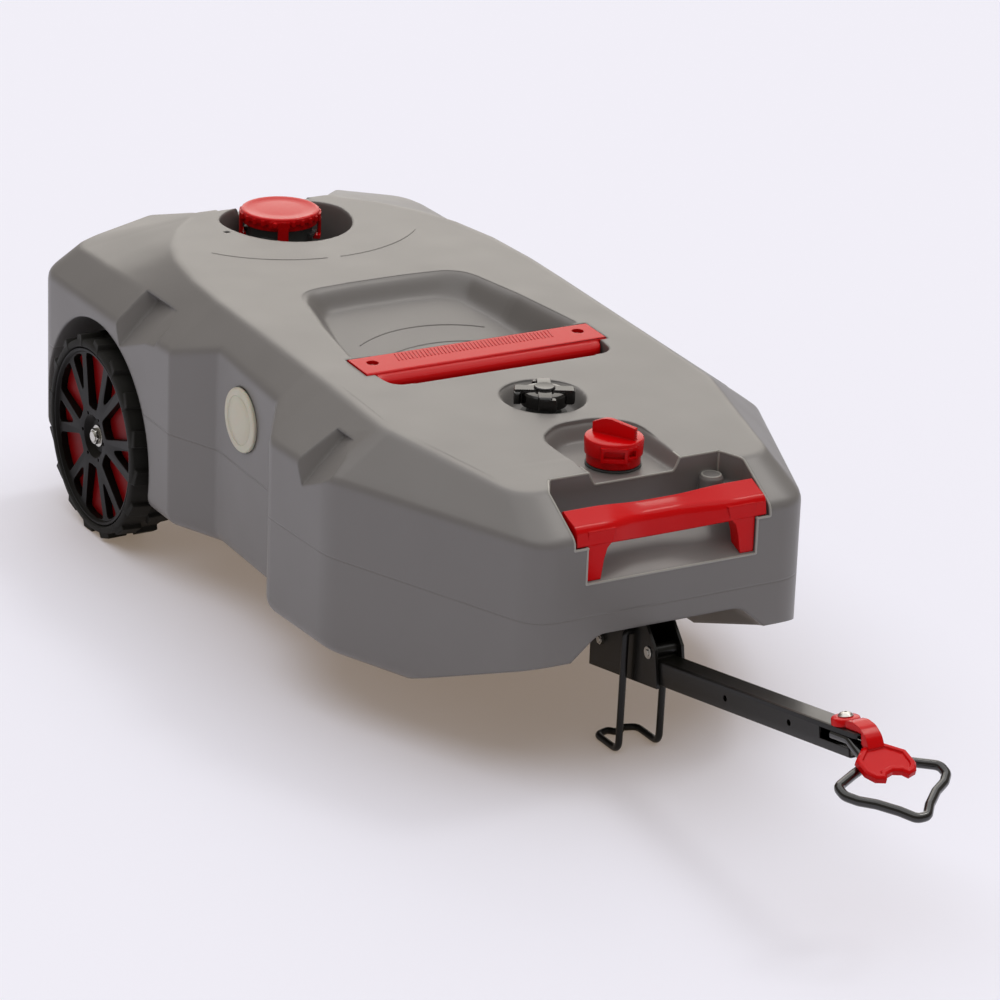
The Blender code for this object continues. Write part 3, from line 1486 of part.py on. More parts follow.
def make_bar(materials):
    half = BAR_SIZE / 2
    corners = [
        (half, -half, 0.003, 0), (half, half, 0.003, 0), (-half, half, 0.003, 0), (-half, -half, 0.003, 0)
    ]
    outside = offset_outline(corners, 0, 2)
    inside = offset_outline(corners, -BAR_WALL, 2)

    def length(ring, front, rear):
        return bar_placed(loft([[Vector((p.x, y, p.y + BAR_AXIS_Z)) for p in ring] for y in (front, rear)]))

    front = -BAR_AHEAD_HINGE
    bar = from_bmesh("tow_bar", length(outside, front, BAR_BEHIND_HINGE), materials["frame"], origin=HINGE)
    cut(bar, length(inside, front - 0.05, BAR_BEHIND_HINGE + 0.05))
    width = half - GAP
    join(
        bar,
        bar_placed(cylinder(HINGE_SLEEVE_RADIUS, -width, width, (0, 0, 0), "X", 24)),
        bar_box((-width, -0.006, BAR_TOP_Z - 0.001), (width, 0.006, -0.003)),
    )
    cut(bar, bar_placed(cylinder(HINGE_PIN_RADIUS + RUN, -0.05, 0.05, (0, 0, 0), "X", 20)))
    for k in range(2):
        along = -(BAR_HOLE_FIRST + k * BAR_HOLE_SPACING)
        cut(bar, bar_placed(cylinder(BAR_HOLE_RADIUS, -0.05, 0.05, (0, along, BAR_AXIS_Z), "X", 16)))
    slot_top = LOOP_Z + LOOP_WIRE / 2 + GAP
    slot_rear = front + BAR_SLOT_LENGTH
    end = front + BAR_END_CUT
    cut(
        bar,
        bar_box((-0.05, front - 0.01, slot_top - BAR_SLOT_HEIGHT), (0.05, slot_rear, slot_top)),
        bar_box((-0.05, front - 0.01, BAR_AXIS_Z - 0.05), (0.05, end, slot_top)),
        bar_placed(cylinder(LATCH_BOLT_RADIUS + GAP, -0.02, 0.02, (0, latch_bolt_y(), BAR_TOP_Z), "Z", 16)),
    )
    for side in (-1, 1):
        corner = 0.008
        trim = [
            (side * (half + 0.01), front - 0.01),
            (side * (half - corner), front - 0.01),
            (side * (half - corner), front),
        ]
        trim += [
            (side * (half - 0.3 * corner), front + 0.3 * corner),
            (side * half, front + corner),
            (side * (half + 0.01), front + corner),
        ]
        cut(bar, bar_placed(prism(trim, slot_top - 0.001, BAR_TOP_Z + 0.01)))


def rod(points, radius, sides=8):
    """A round rod that follows a line of points, with mitred joints and flat ends."""
    shape = bmesh.new()
    rows = []
    normal = None
    for k, point in enumerate(points):
        into = (point - points[k - 1]).normalized() if k else None
        away = (points[k + 1] - point).normalized() if k < len(points) - 1 else None
        into = into or away
        away = away or into
        if normal is None:
            normal = into.orthogonal().normalized()
        normal = (normal - into * normal.dot(into)).normalized()
        other = into.cross(normal)
        middle = (into + away).normalized()
        ring = []
        for step in range(sides):
            angle = 2 * pi * step / sides
            spot = normal * (radius * cos(angle)) + other * (radius * sin(angle))
            spot -= into * (spot.dot(middle) / into.dot(middle))
            ring.append(shape.verts.new(point + spot))
        rows.append(ring)
    for one, two in zip(rows, rows[1:]):
        for k in range(sides):
            j = (k + 1) % sides
            shape.faces.new((one[k], one[j], two[j], two[k]))
    shape.faces.new(rows[0])
    shape.faces.new(rows[-1])
    return shape


def make_loop(materials):
    """The loop's two legs lie in the bar's slots; its ring droops in front of the bar."""
    half = [
        # (half width, distance in front of the bend, bend radius)
        (LOOP_LEG_X, 0, 0.012),
        (LOOP_LEG_X + 0.001, 0.028, 0.03),
        (LOOP_LEG_X + 0.007, 0.045, 0.012),
        (0.040, 0.054, 0.02),
        (LOOP_HALF, 0.068, 0.014),
        (LOOP_HALF, 0.083, 0.012),
        (0.058, 0.095, 0.02),
        (0.040, 0.106, 0.03),
        (0.020, 0.124, 0.03),
        (0.007, LOOP_REACH, 0.012),
    ]
    swing = LOOP_FRAME.to_3x3()
    start = LOOP_FRAME.translation
    line = [BAR_FRAME @ Vector((LOOP_LEG_X, BEND_Y + LOOP_LEG, LOOP_Z))]
    line += [start + swing @ Vector((x, -along, 0)) for x, along, _ in half]
    line += [Vector((-p.x, p.y, p.z)) for p in reversed(line)]
    radii = [0, *[radius for _, _, radius in half]]
    radii += list(reversed(radii))
    path = rounded(line, radii, 2)
    from_bmesh("hand_loop", rod(path, LOOP_WIRE / 2), materials["frame"], origin=HINGE, smooth=50)


def latch_bolt_y():
    return LATCH_BOLT_BACK - BAR_AHEAD_HINGE


def latch_axis():
    """Where the latch's arm bends: the front of its foot, halfway up the arm."""
    return Vector((0, latch_bolt_y() - LATCH_FOOT_RADIUS - 0.002, BAR_TOP_Z + GAP + LATCH_THICKNESS / 2))


def make_latch(materials):
    knuckle = LATCH_THICKNESS / 2
    low = BAR_TOP_Z + GAP
    axis = latch_axis()
    foot_centre = (0, latch_bolt_y(), 0)
    foot = from_bmesh(
        "latch_foot",
        bar_placed(cylinder(LATCH_FOOT_RADIUS, low, low + LATCH_THICKNESS, foot_centre, "Z", 32)),
        materials["red"],
        origin=HINGE,
    )
    cut(
        foot,
        bar_placed(cylinder(knuckle + GAP, -0.05, 0.05, axis, "X", 20)),
        bar_placed(cylinder(LATCH_BOLT_RADIUS + GAP, -0.05, 0.05, foot_centre, "Z", 16)),
    )
    clear = BAR_AHEAD_HINGE + axis.y + 0.001
    arm = [
        (0.0, knuckle),
        (-0.016, knuckle + 0.0005),
        (-clear - 0.002, 0.001),
        (-clear - 0.011, -0.009),
        (-clear - 0.014, -0.020),
        (-clear - 0.009, -0.023),
        (-clear, -0.017),
        (-clear, -knuckle),
        (0.0, -knuckle),
    ]
    arm = [(axis.y + y, axis.z + z) for y, z in arm]
    latch = from_bmesh(
        "latch",
        bar_placed(prism(arm, -LATCH_ARM_HALF, LATCH_ARM_HALF, "X")),
        materials["red"],
        origin=BAR_FRAME @ axis,
    )
    join(latch, bar_placed(cylinder(knuckle, -LATCH_ARM_HALF, LATCH_ARM_HALF, axis, "X", 20)))
    notch = [(0.0150, 0.083), (0.0105, 0.076), (0.0, 0.0725)]
    half = [(0.0145, 0.027), (LATCH_PLATE_HALF, 0.045), (LATCH_PLATE_HALF, 0.067), (0.027, 0.079), *notch]
    plan = [(x, -along) for x, along in half] + [(-x, -along) for x, along in reversed(half[:-1])]
    under = LOOP_WIRE / 2 + GAP
    plate = bar_placed(prism(plan, under, under + LATCH_PLATE), LOOP_FRAME)
    join(latch, plate)
    head_low = low + LATCH_THICKNESS + GAP
    deep = BAR_TOP_Z - BAR_WALL - GAP
    nut_low = deep - 0.004
    body = [
        (0, nut_low - 0.002),
        (LATCH_BOLT_RADIUS, nut_low - 0.002),
        (LATCH_BOLT_RADIUS, head_low),
        (LATCH_HEAD_RADIUS, head_low),
        (LATCH_HEAD_RADIUS - 0.001, head_low + 0.003),
        (0.55 * LATCH_HEAD_RADIUS, head_low + 0.005),
        (0, head_low + 0.005),
    ]
    from_bmesh(
        "latch_bolt", bar_placed(turned(body, foot_centre, "Z", 20)), materials["steel"], origin=HINGE
    )
    nut = from_bmesh(
        "latch_nut", bar_placed(cylinder(0.0056, nut_low, deep, foot_centre, "Z", 6)), materials["steel"], origin=HINGE
    )
    cut(nut, bar_placed(cylinder(LATCH_BOLT_RADIUS + GAP, -0.05, 0.05, foot_centre, "Z", 16)))


def make_kickstand(materials):
    # The legs pass outside the ends of the hinge pin when the stand folds
    leg_x = BAR_SIZE / 2 + BAR_SIDE_PLAY + BRACKET_GAUGE + PIN_HEAD + STAND_WIRE / 2 + 3 * GAP
    ground = STAND_WIRE / 2 + GAP
    half = [
        (BAR_SIZE / 2 + 0.001, 0, STAND_PIVOT_Z, 0),
        (leg_x, 0, STAND_PIVOT_Z, 0.008),
        (leg_x, 0.004, ground, 0.014),
        (leg_x, STAND_FOOT, ground, 0.014),
        (0.010, STAND_FOOT + 0.006, ground, 0.012),
        (0.004, STAND_FOOT - 0.002, ground, 0.010),
    ]
    line = [Vector((x, STAND_Y + y, z)) for x, y, z, _ in half]
    line += [Vector((-p.x, p.y, p.z)) for p in reversed(line)]
    radii = [radius for _, _, _, radius in half]
    radii += list(reversed(radii))
    path = rounded(line, radii, 3)
    pivot = (0, STAND_Y, STAND_PIVOT_Z)
    from_bmesh("kickstand", rod(path, STAND_WIRE / 2), materials["frame"], origin=pivot, smooth=50)


HINGE = (0, HINGE_Y, HINGE_Z)


def build():
    clear_scene()
    materials = make_materials()
    make_tank(materials)
    make_inlet(materials)
    make_hose_port(materials)
    make_vent(materials)
    make_gauge(materials)
    make_deck_handle(materials)
    make_front_handle(materials)
    make_axle(materials)
    make_wheel(-1, "left", materials)
    make_wheel(1, "right", materials)
    make_bracket(materials)
    make_bar(materials)
    make_loop(materials)
    make_latch(materials)
    make_kickstand(materials)
    make_fasteners(materials)


build()
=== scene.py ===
"""Looks for a wheeled portable waste water tank, built round its CAD model.

Metres, +Z up, the tow bar towards -Y. Each hero piece is modelled afresh in the place of its CAD node;
the small fasteners are smoothed copies of their nodes.
"""

import json
from math import cos, pi, radians, sin, tan

import bmesh
import bpy
from mathutils import Matrix, Vector


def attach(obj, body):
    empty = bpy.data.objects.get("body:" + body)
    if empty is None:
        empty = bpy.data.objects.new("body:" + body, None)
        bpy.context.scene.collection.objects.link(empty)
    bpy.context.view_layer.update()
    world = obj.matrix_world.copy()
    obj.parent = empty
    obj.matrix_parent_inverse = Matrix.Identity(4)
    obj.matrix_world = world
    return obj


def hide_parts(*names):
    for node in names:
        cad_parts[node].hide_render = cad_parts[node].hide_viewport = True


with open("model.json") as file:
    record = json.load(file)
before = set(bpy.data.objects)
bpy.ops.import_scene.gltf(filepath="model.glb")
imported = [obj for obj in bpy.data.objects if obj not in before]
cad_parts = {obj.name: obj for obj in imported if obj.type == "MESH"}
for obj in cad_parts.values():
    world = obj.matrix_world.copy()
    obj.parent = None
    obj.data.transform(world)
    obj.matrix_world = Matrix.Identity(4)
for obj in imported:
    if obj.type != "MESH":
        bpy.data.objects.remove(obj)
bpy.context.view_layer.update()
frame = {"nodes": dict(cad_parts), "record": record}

# Places and sizes, as in the CAD source
TANK_LENGTH = 1.167
REAR_Y = 0.8579499609593233
FRONT_Y = REAR_Y - TANK_LENGTH
TANK_BOTTOM = 0.085
BOTTOM_RADIUS = 0.026
SHOULDER_Z = 0.32
SHOULDER_SLOPE = 0.81
DECK_REAR_Z = 0.395
DECK_FALL = 0.0352
HOUSING_HALF = 0.305
WAIST_HALF = 0.275
FRONT_HALF = 0.317
DECK_HALF = 0.2325
REAR_RECESS = 0.055
REAR_RECESS_HALF = 0.105
DECK_SETBACK = 0.068
SEAM_Z = 0.2195

WHEEL_RADIUS = 0.14
WHEEL_OUTER_X = 0.3155
WHEEL_WIDTH = 0.07
AXLE_RADIUS = 0.008
ARCH_RADIUS = 0.163
ARCH_INNER_X = 0.233
RIM_RADIUS = 0.1215

GAP = 0.0003
CORNER_STEPS = 7
WALL_STEPS = 8
FAR = 0.6
SIDES = ((-1, "left"), (1, "right"))


def from_rear(distance):
    return REAR_Y - distance


def from_front(distance):
    return FRONT_Y + distance


AXLE_Y = from_rear(0.185)
AXLE_Z = WHEEL_RADIUS
AXLE = (0, AXLE_Y, AXLE_Z)
INLET_Y = from_rear(0.12)
INLET_FLOOR_Z = 0.334
HOSE_Y = from_front(0.317)
VENT_Y = from_front(0.1463)
VENT_FLOOR_Z = 0.3455
GAUGE = (-(WAIST_HALF - 0.0012), from_rear(0.563), 0.288)
SCOOP_REAR_Y = from_rear(0.413)
SCOOP_LENGTH = 0.34
SCOOP_FRONT_Y = SCOOP_REAR_Y - SCOOP_LENGTH
HANDLE_FRONT_Y = SCOOP_FRONT_Y + 0.046
HANDLE_DEPTH = 0.055
HANDLE_REAR_Y = HANDLE_FRONT_Y + HANDLE_DEPTH
HANDLE_HALF = 0.1745
HANDLE_BAR_HALF = 0.161
HANDLE_SCREW_X = 0.15
HINGE = Vector((0, from_front(0.011), 0.152))
BRACKET_PITCH = radians(10.3)


def deck_z(y):
    share = (from_rear(REAR_RECESS) - y) / (TANK_LENGTH - REAR_RECESS - DECK_SETBACK)
    return DECK_REAR_Z - DECK_FALL * max(share, 0) ** 2


HOSE_FLOOR_Z = deck_z(HOSE_Y) - 0.022
# A level that the cutters of the deck's recesses reach up to
ABOVE_DECK = DECK_REAR_Z + 0.03


# Materials


def linear(hex_colour, gain=1.0):
    channels = [int(hex_colour[i : i + 2], 16) / 255 for i in (1, 3, 5)]
    made = [c / 12.92 if c <= 0.04045 else ((c + 0.055) / 1.055) ** 2.4 for c in channels]
    return (*[min(c * gain, 1) for c in made], 1)


def set_inputs(node, values):
    """Set a node's inputs by their names."""
    for key, value in values.items():
        node.inputs[key].default_value = value


def new_material(name):
    made = bpy.data.materials.new(name)
    made.use_nodes = True
    return made, made.node_tree.nodes["Principled BSDF"]


def add(tree, kind, settings=None, links=None):
    """Add a node with its settings and its links from other sockets. A link from None is left out."""
    node = tree.nodes.new(kind)
    for key, value in (settings or {}).items():
        if isinstance(key, str) and hasattr(node, key):
            setattr(node, key, value)
        else:
            node.inputs[key].default_value = value
    for key, source in (links or {}).items():
        if source is not None:
            tree.links.new(source, node.inputs[key])
    return node


def finish(
    name, colour, roughness, metallic=0.0, coat=0.0, specular=0.5,
    edge=0.0, swell=0.0, grain=0.0008, depth=0.00003, mottle=0.05,
):
    """A surface with softened edges, slow hollows, a fine grain of a size and depth, and colour drift."""
    made, shader = new_material(name)
    tree = made.node_tree
    set_inputs(shader, {"Metallic": metallic, "Specular IOR Level": specular})
    set_inputs(shader, {"Coat Weight": coat, "Coat Roughness": 0.15})
    place = add(tree, "ShaderNodeTexCoord").outputs["Object"]
    drift = add(tree, "ShaderNodeTexNoise", {"Scale": 14.0, "Detail": 4.0}, {"Vector": place})
    mixed = add(
        tree,
        "ShaderNodeMix",
        {"data_type": "RGBA", 6: linear(colour, 1 - mottle), 7: linear(colour, 1 + mottle)},
        {"Factor": drift.outputs["Fac"]},
    )
    tree.links.new(mixed.outputs[2], shader.inputs["Base Color"])
    spread = add(
        tree,
        "ShaderNodeMapRange",
        {"To Min": max(roughness - 0.06, 0.02), "To Max": min(roughness + 0.06, 1)},
        {"Value": drift.outputs["Fac"]},
    )
    tree.links.new(spread.outputs["Result"], shader.inputs["Roughness"])
    normal = None
    if edge:
        normal = add(tree, "ShaderNodeBevel", {"samples": 6, "Radius": edge}).outputs["Normal"]
    for scale, detail, height in ((9.0, 1.0, swell), (1 / grain, 2.0, depth)):
        if height:
            noise = add(tree, "ShaderNodeTexNoise", {"Scale": scale, "Detail": detail}, {"Vector": place})
            links = {"Height": noise.outputs["Fac"], "Normal": normal}
            normal = add(tree, "ShaderNodeBump", {"Distance": height}, links).outputs["Normal"]
    tree.links.new(normal, shader.inputs["Normal"])
    made.diffuse_color = linear(colour)
    return made


def add_seam(made):
    """The mould's parting line: a thin groove all round the tank at one height."""
    tree = made.node_tree
    shader = tree.nodes["Principled BSDF"]
    before = shader.inputs["Normal"].links[0].from_socket
    place = add(tree, "ShaderNodeTexCoord").outputs["Object"]
    height = add(tree, "ShaderNodeSeparateXYZ", None, {"Vector": place}).outputs["Z"]
    off = add(tree, "ShaderNodeMath", {"operation": "SUBTRACT", 1: SEAM_Z}, {0: height}).outputs[0]
    away = add(tree, "ShaderNodeMath", {"operation": "ABSOLUTE"}, {0: off}).outputs[0]
    wall = add(
        tree,
        "ShaderNodeMapRange",
        {"interpolation_type": "SMOOTHSTEP", "From Max": 0.0022, "To Max": 1.0},
        {"Value": away},
    )
    links = {"Height": wall.outputs["Result"], "Normal": before}
    groove = add(tree, "ShaderNodeBump", {"Distance": 0.0005}, links)
    tree.links.new(groove.outputs["Normal"], shader.inputs["Normal"])


SLOT_FINISHES = {
    # Blow moulded polyethylene: dull, finely pebbled, with soft edges and slight hollows between them
    "tank": finish(
        "blow_moulded_polyethylene", "#726F6D", 0.36,
        edge=0.006, swell=0.0022, grain=0.0011, depth=0.00005, mottle=0.035,
    ),
    # Injection moulded polypropylene: saturated red, satin gloss
    "red_plastic": finish(
        "red_polypropylene", "#C80409", 0.24,
        coat=0.22, specular=0.06, edge=0.0024, grain=0.0006, depth=0.00002, mottle=0.03,
    ),
    # Nylon is glossy and nearly black, and the gauge's ABS is grey and matt
    "black_plastic": finish("black_nylon", "#100F0E", 0.16, edge=0.0012, depth=0.00002),
    "dark_plastic": finish("dark_abs", "#3C3F3F", 0.5, edge=0.001),
    # Unpigmented polyethylene lets light in, so it looks warm and waxy
    "cream_plastic": finish(
        "natural_polyethylene", "#C6C1AE", 0.4, edge=0.0012, depth=0.00002, mottle=0.03
    ),
    # The wheels' polypropylene and rubbery polymer: brownish black with a dull skin
    "rim_plastic": finish(
        "black_polypropylene_wheel", "#0B0805", 0.44,
        specular=0.12, edge=0.0012, grain=0.0009, depth=0.00004,
    ),
    "tyre": finish(
        "black_tyre_polymer", "#171612", 0.7,
        specular=0.3, edge=0.0015, grain=0.0012, depth=0.00009, mottle=0.12,
    ),
    # Nitrile rubber: matt black
    "seal_rubber": finish("nitrile_rubber", "#161616", 0.85),
    # Zinc plate: bright grey metal with a faintly uneven sheen
    "steel": finish(
        "zinc_plated_steel", "#C2C0BA", 0.27,
        metallic=1.0, edge=0.0005, grain=0.001, depth=0.00001, mottle=0.1,
    ),
    # Powder coat on steel tube: black with a slight orange peel
    "black_frame": finish(
        "black_powder_coat", "#0C0B08", 0.33,
        coat=0.1, specular=0.3, edge=0.001, grain=0.0016, depth=0.00004,
    ),
}
add_seam(SLOT_FINISHES["tank"])
CREAM_SHADER = SLOT_FINISHES["cream_plastic"].node_tree.nodes["Principled BSDF"]
set_inputs(CREAM_SHADER, {"Subsurface Weight": 0.25, "Subsurface Scale": 0.004})
# Gloss paint by dipping: smooth black with clear highlights, on the bent hand loop
GLOSS_PAINT = finish("black_gloss_paint", "#080706", 0.16, coat=0.5, grain=0.002, depth=0.00002)
# Polyethylene of the rolled rims of the front recess, glossy and painted pale: the pale colour is a
# painted highlight along their rounded edges
RIM_PAINTED_HIGHLIGHT = finish("tank_rim_painted_highlight", "#9A9892", 0.3, grain=0.001, depth=0.00002)
# Enamel on the handles' screw heads: dull dark red
RED_SCREW = finish("painted_screw_head", "#8C0507", 0.35, specular=0.3, grain=0.001, depth=0.00001)
# The discs behind the spokes are duller than the handles, and their red is darkened as painted shade for
# where they lie behind the spokes
DISC_RED_PAINTED_SHADE = finish("red_plastic_painted_shade", "#7C0508", 0.4, specular=0.12)

NODE_SLOT = {row["node"]: row["material_slot"] for row in frame["record"]["subparts"]}
BODIES = frame["record"]["behaviour"]["bodies"]
NODE_BODY = {node: body for body, nodes in BODIES.items() for node in nodes}
REPLACED = set()


# Modelling helpers


def linked(name, data):
    """An object in the scene with its data."""
    made = bpy.data.objects.new(name, data)
    bpy.context.scene.collection.objects.link(made)
    return made


def linked_mesh(name, shape):
    """An object whose mesh is a bmesh, which is freed."""
    mesh = bpy.data.meshes.new(name)
    shape.to_mesh(mesh)
    shape.free()
    return linked(name, mesh)


def evaluated(thing):
    """A bmesh of an object as its modifiers or its bevel leave it."""
    worked = thing.evaluated_get(bpy.context.evaluated_depsgraph_get())
    mesh = bpy.data.meshes.new_from_object(worked)
    shape = bmesh.new()
    shape.from_mesh(mesh)
    bpy.data.meshes.remove(mesh)
    return shape


def piece(name, shape, node, material=None, smooth=35, bevel=0.0, extra=False, even=False):
    """Make an object of a bmesh on a CAD node's body, in the node's place unless it is an extra."""
    made = linked_mesh(name, shape)
    made.data.shade_smooth()
    made.data.set_sharp_from_angle(angle=radians(smooth))
    made.data.materials.append(material or SLOT_FINISHES[NODE_SLOT[node]])
    if bevel:
        edge = made.modifiers.new("soft_edges", "BEVEL")
        edge.width = bevel
        edge.segments = 2
        edge.limit_method = "ANGLE"
        edge.angle_limit = radians(40)
        edge.harden_normals = True
    if even:
        shading = made.modifiers.new("even_shading", "WEIGHTED_NORMAL")
        shading.keep_sharp = True
    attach(made, NODE_BODY[node])
    if not extra:
        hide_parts(node)
        REPLACED.add(node)


def block(low, high):
    shape = bmesh.new()
    bmesh.ops.create_cube(shape, size=1)
    low = Vector(low)
    high = Vector(high)
    bmesh.ops.scale(shape, vec=high - low, verts=shape.verts)
    bmesh.ops.translate(shape, vec=(low + high) / 2, verts=shape.verts)
    return shape


AXES = {
    "X": Matrix(((0, 0, 1), (1, 0, 0), (0, 1, 0))),
    "Y": Matrix(((1, 0, 0), (0, 0, -1), (0, 1, 0))),
    "Z": Matrix.Identity(3),
}


def extruded(outline, low, high, axis="Z"):
    """Extrude an outline along an axis: (y, z) points for X, (x, z) for Y and (x, y) for Z."""
    turn = AXES[axis]
    if axis == "Y":
        low, high = -high, -low
    shape = bmesh.new()
    corners = [shape.verts.new(turn @ Vector((a, b, low))) for a, b in outline]
    shape.faces.new(corners)
    made = bmesh.ops.extrude_face_region(shape, geom=shape.faces[:])
    top = [v for v in made["geom"] if isinstance(v, bmesh.types.BMVert)]
    bmesh.ops.translate(shape, vec=turn @ Vector((0, 0, high - low)), verts=top)
    bmesh.ops.recalc_face_normals(shape, faces=shape.faces)
    return shape


def turned(profile, centre, axis="Z", steps=64):
    """Spin a (radius, height) profile all the way round an axis."""
    turn = AXES[axis]
    centre = Vector(centre)
    shape = bmesh.new()
    line = [shape.verts.new(centre + turn @ Vector((radius, 0, height))) for radius, height in profile]
    pairs = list(zip(line, line[1:]))
    if profile[0][0] > 0:
        pairs.append((line[-1], line[0]))
    edges = [shape.edges.new(pair) for pair in pairs]
    way = turn @ Vector((0, 0, 1))
    bmesh.ops.spin(
        shape, geom=line + edges, cent=centre, axis=way, angle=2 * pi, steps=steps, use_merge=True
    )
    bmesh.ops.remove_doubles(shape, verts=shape.verts, dist=1e-6)
    bmesh.ops.recalc_face_normals(shape, faces=shape.faces)
    return shape


def span(side, near, far):
    """The low and high end along X of a stretch on one side."""
    return sorted((side * near, side * far))


def placed(shape, matrix):
    bmesh.ops.transform(shape, matrix=matrix, verts=shape.verts)
    return shape


def around(y, degrees, z=0):
    """A turn round an upright axis on the tank's middle plane."""
    return Matrix.Translation((0, y, z)) @ Matrix.Rotation(radians(degrees), 4, "Z")


def turn_verts(shape, verts, angle, axis):
    bmesh.ops.rotate(shape, cent=(0, 0, 0), matrix=Matrix.Rotation(angle, 3, axis), verts=verts)


def bevel_edges(shape, edges, offset, segments):
    bmesh.ops.bevel(
        shape, geom=edges, offset=offset, segments=segments, affect="EDGES", profile=0.5, material=-1
    )


def cylinder(radius, low, high, centre, axis="Z", steps=64):
    return turned([(0, low), (radius, low), (radius, high), (0, high)], centre, axis, steps)


def carved(shape, operation, *tools):
    """The bmesh that is left after each tool is cut from it or joined to it."""
    blank = linked_mesh("blank", shape)
    cutters = [linked_mesh("blank", tool) for tool in tools]
    for cutter in cutters:
        step = blank.modifiers.new("carve", "BOOLEAN")
        step.operation = operation
        step.solver = "EXACT"
        step.object = cutter
    bpy.context.view_layer.update()
    result = evaluated(blank)
    for used in (blank, *cutters):
        mesh = used.data
        bpy.data.objects.remove(used)
        bpy.data.meshes.remove(mesh)
    return result


def shares(steps):
    return [step / steps for step in range(steps + 1)]


def bend(start, corner, end, t):
    """A point on the soft curve from start to end that a corner pulls at."""
    return start * (1 - t) ** 2 + corner * 2 * t * (1 - t) + end * t**2


def rounded(points, radii, steps, closed=False):
    """Round the corners of a line of points. A corner with a radius becomes steps + 1 points."""
    points = [Vector(p) for p in points]
    count = len(points)
    made = []
    for k, (corner, radius) in enumerate(zip(points, radii)):
        if radius == 0 or (not closed and k in (0, count - 1)):
            made.append(corner)
            continue
        into = points[k - 1] - corner
        away = points[(k + 1) % count] - corner
        half = into.angle(away) / 2
        reach = min(radius / tan(half), 0.45 * into.length, 0.45 * away.length)
        start = corner + into.normalized() * reach
        end = corner + away.normalized() * reach
        made += [bend(start, corner, end, t) for t in shares(steps)]
    return made


def bent(corners, radii, steps, closed=False):
    """Round the corners of a flat line, given and returned as pairs of numbers."""
    line = rounded([(a, b, 0) for a, b in corners], radii, steps, closed)
    return [(p.x, p.y) for p in line]


def offset_outline(corners, margin):
    """Grow a closed anticlockwise outline of (x, y, radius, height) corners by a margin and round it."""
    count = len(corners)
    moved = []
    radii = []
    for k, (x, y, radius, height) in enumerate(corners):
        before = corners[k - 1]
        after = corners[(k + 1) % count]
        one = Vector((x - before[0], y - before[1])).normalized()
        two = Vector((after[0] - x, after[1] - y)).normalized()
        out = Vector((one.y + two.y, -one.x - two.x)) / (1 + one.dot(two))
        moved.append(Vector((x + out.x * margin, y + out.y * margin, height)))
        turns_out = one.x * two.y - one.y * two.x > 0
        radii.append(max(radius + (margin if turns_out else -margin), 0.001) if radius else 0)
    return rounded(moved, radii, CORNER_STEPS, closed=True)


def mirrored(half):
    return half + [(-corner[0], *corner[1:]) for corner in reversed(half)]


def flat_outline(half, margin):
    return offset_outline(mirrored([(x, y, radius, 0) for x, y, radius in half]), margin)


def raised(outline, height):
    """Lift an outline to a height, which may be a function of y."""
    level = height if callable(height) else lambda y: height
    return [Vector((p.x, p.y, level(p.y))) for p in outline]


def skinned(rings, deck=None):
    """Bridge closed rings into one skin with flat ends, or with a last end that follows a deck height."""
    shape = bmesh.new()
    loops = []
    for ring in rings:
        row = [shape.verts.new(p) for p in ring]
        loops.append([shape.edges.new(pair) for pair in zip(row, row[1:] + row[:1])])
    for low, high in zip(loops, loops[1:]):
        bmesh.ops.bridge_loops(shape, edges=low + high)
    bmesh.ops.contextual_create(shape, geom=loops[0])
    top = bmesh.ops.contextual_create(shape, geom=loops[-1])["faces"]
    if deck:
        levels = [vert.co.y for vert in top[0].verts]
        front, rear = min(levels), max(levels)
        count = 60
        for k in range(1, count):
            spot = (0, front + (rear - front) * k / count, 0)
            edges = {edge for face in top for edge in face.edges}
            verts = {vert for face in top for vert in face.verts}
            geom = [*verts, *edges, *top]
            cut = bmesh.ops.bisect_plane(shape, geom=geom, dist=1e-5, plane_co=spot, plane_no=(0, 1, 0))
            top = [part for part in cut["geom"] if isinstance(part, bmesh.types.BMFace)]
            for part in cut["geom_cut"]:
                if isinstance(part, bmesh.types.BMVert):
                    part.co.z = deck(part.co.y)
    bmesh.ops.recalc_face_normals(shape, faces=shape.faces)
    return shape


def ease(t):
    return t * t * (3 - 2 * t)


def basin(half, run, floor, rim):
    """A recess whose wall leaves the floor in a hollow curve and rolls over at the rim."""
    rings = []
    for t in shares(WALL_STEPS):
        plan = flat_outline(half, -run * (1 - t))
        rings.append(raised(plan, lambda y: floor(y) + (rim(y) - floor(y)) * ease(t)))
    rings.append(raised(flat_outline(half, 0), ABOVE_DECK))
    return skinned(rings)


def rod(name, points, radius, node, material=None, extra=False):
    """A piece that is a round rod along a line of points."""
    curve = bpy.data.curves.new(name, "CURVE")
    curve.dimensions = "3D"
    curve.bevel_depth = radius
    curve.bevel_resolution = 5
    curve.use_fill_caps = True
    line = curve.splines.new("POLY")
    line.points.add(len(points) - 1)
    for slot, point in zip(line.points, points):
        slot.co = (*point, 1)
    tube = linked("tube", curve)
    shape = evaluated(tube)
    bmesh.ops.remove_doubles(shape, verts=shape.verts, dist=1e-6)
    bpy.data.objects.remove(tube)
    bpy.data.curves.remove(curve)
    piece(name, shape, node, material, smooth=50, extra=extra)


# Tank


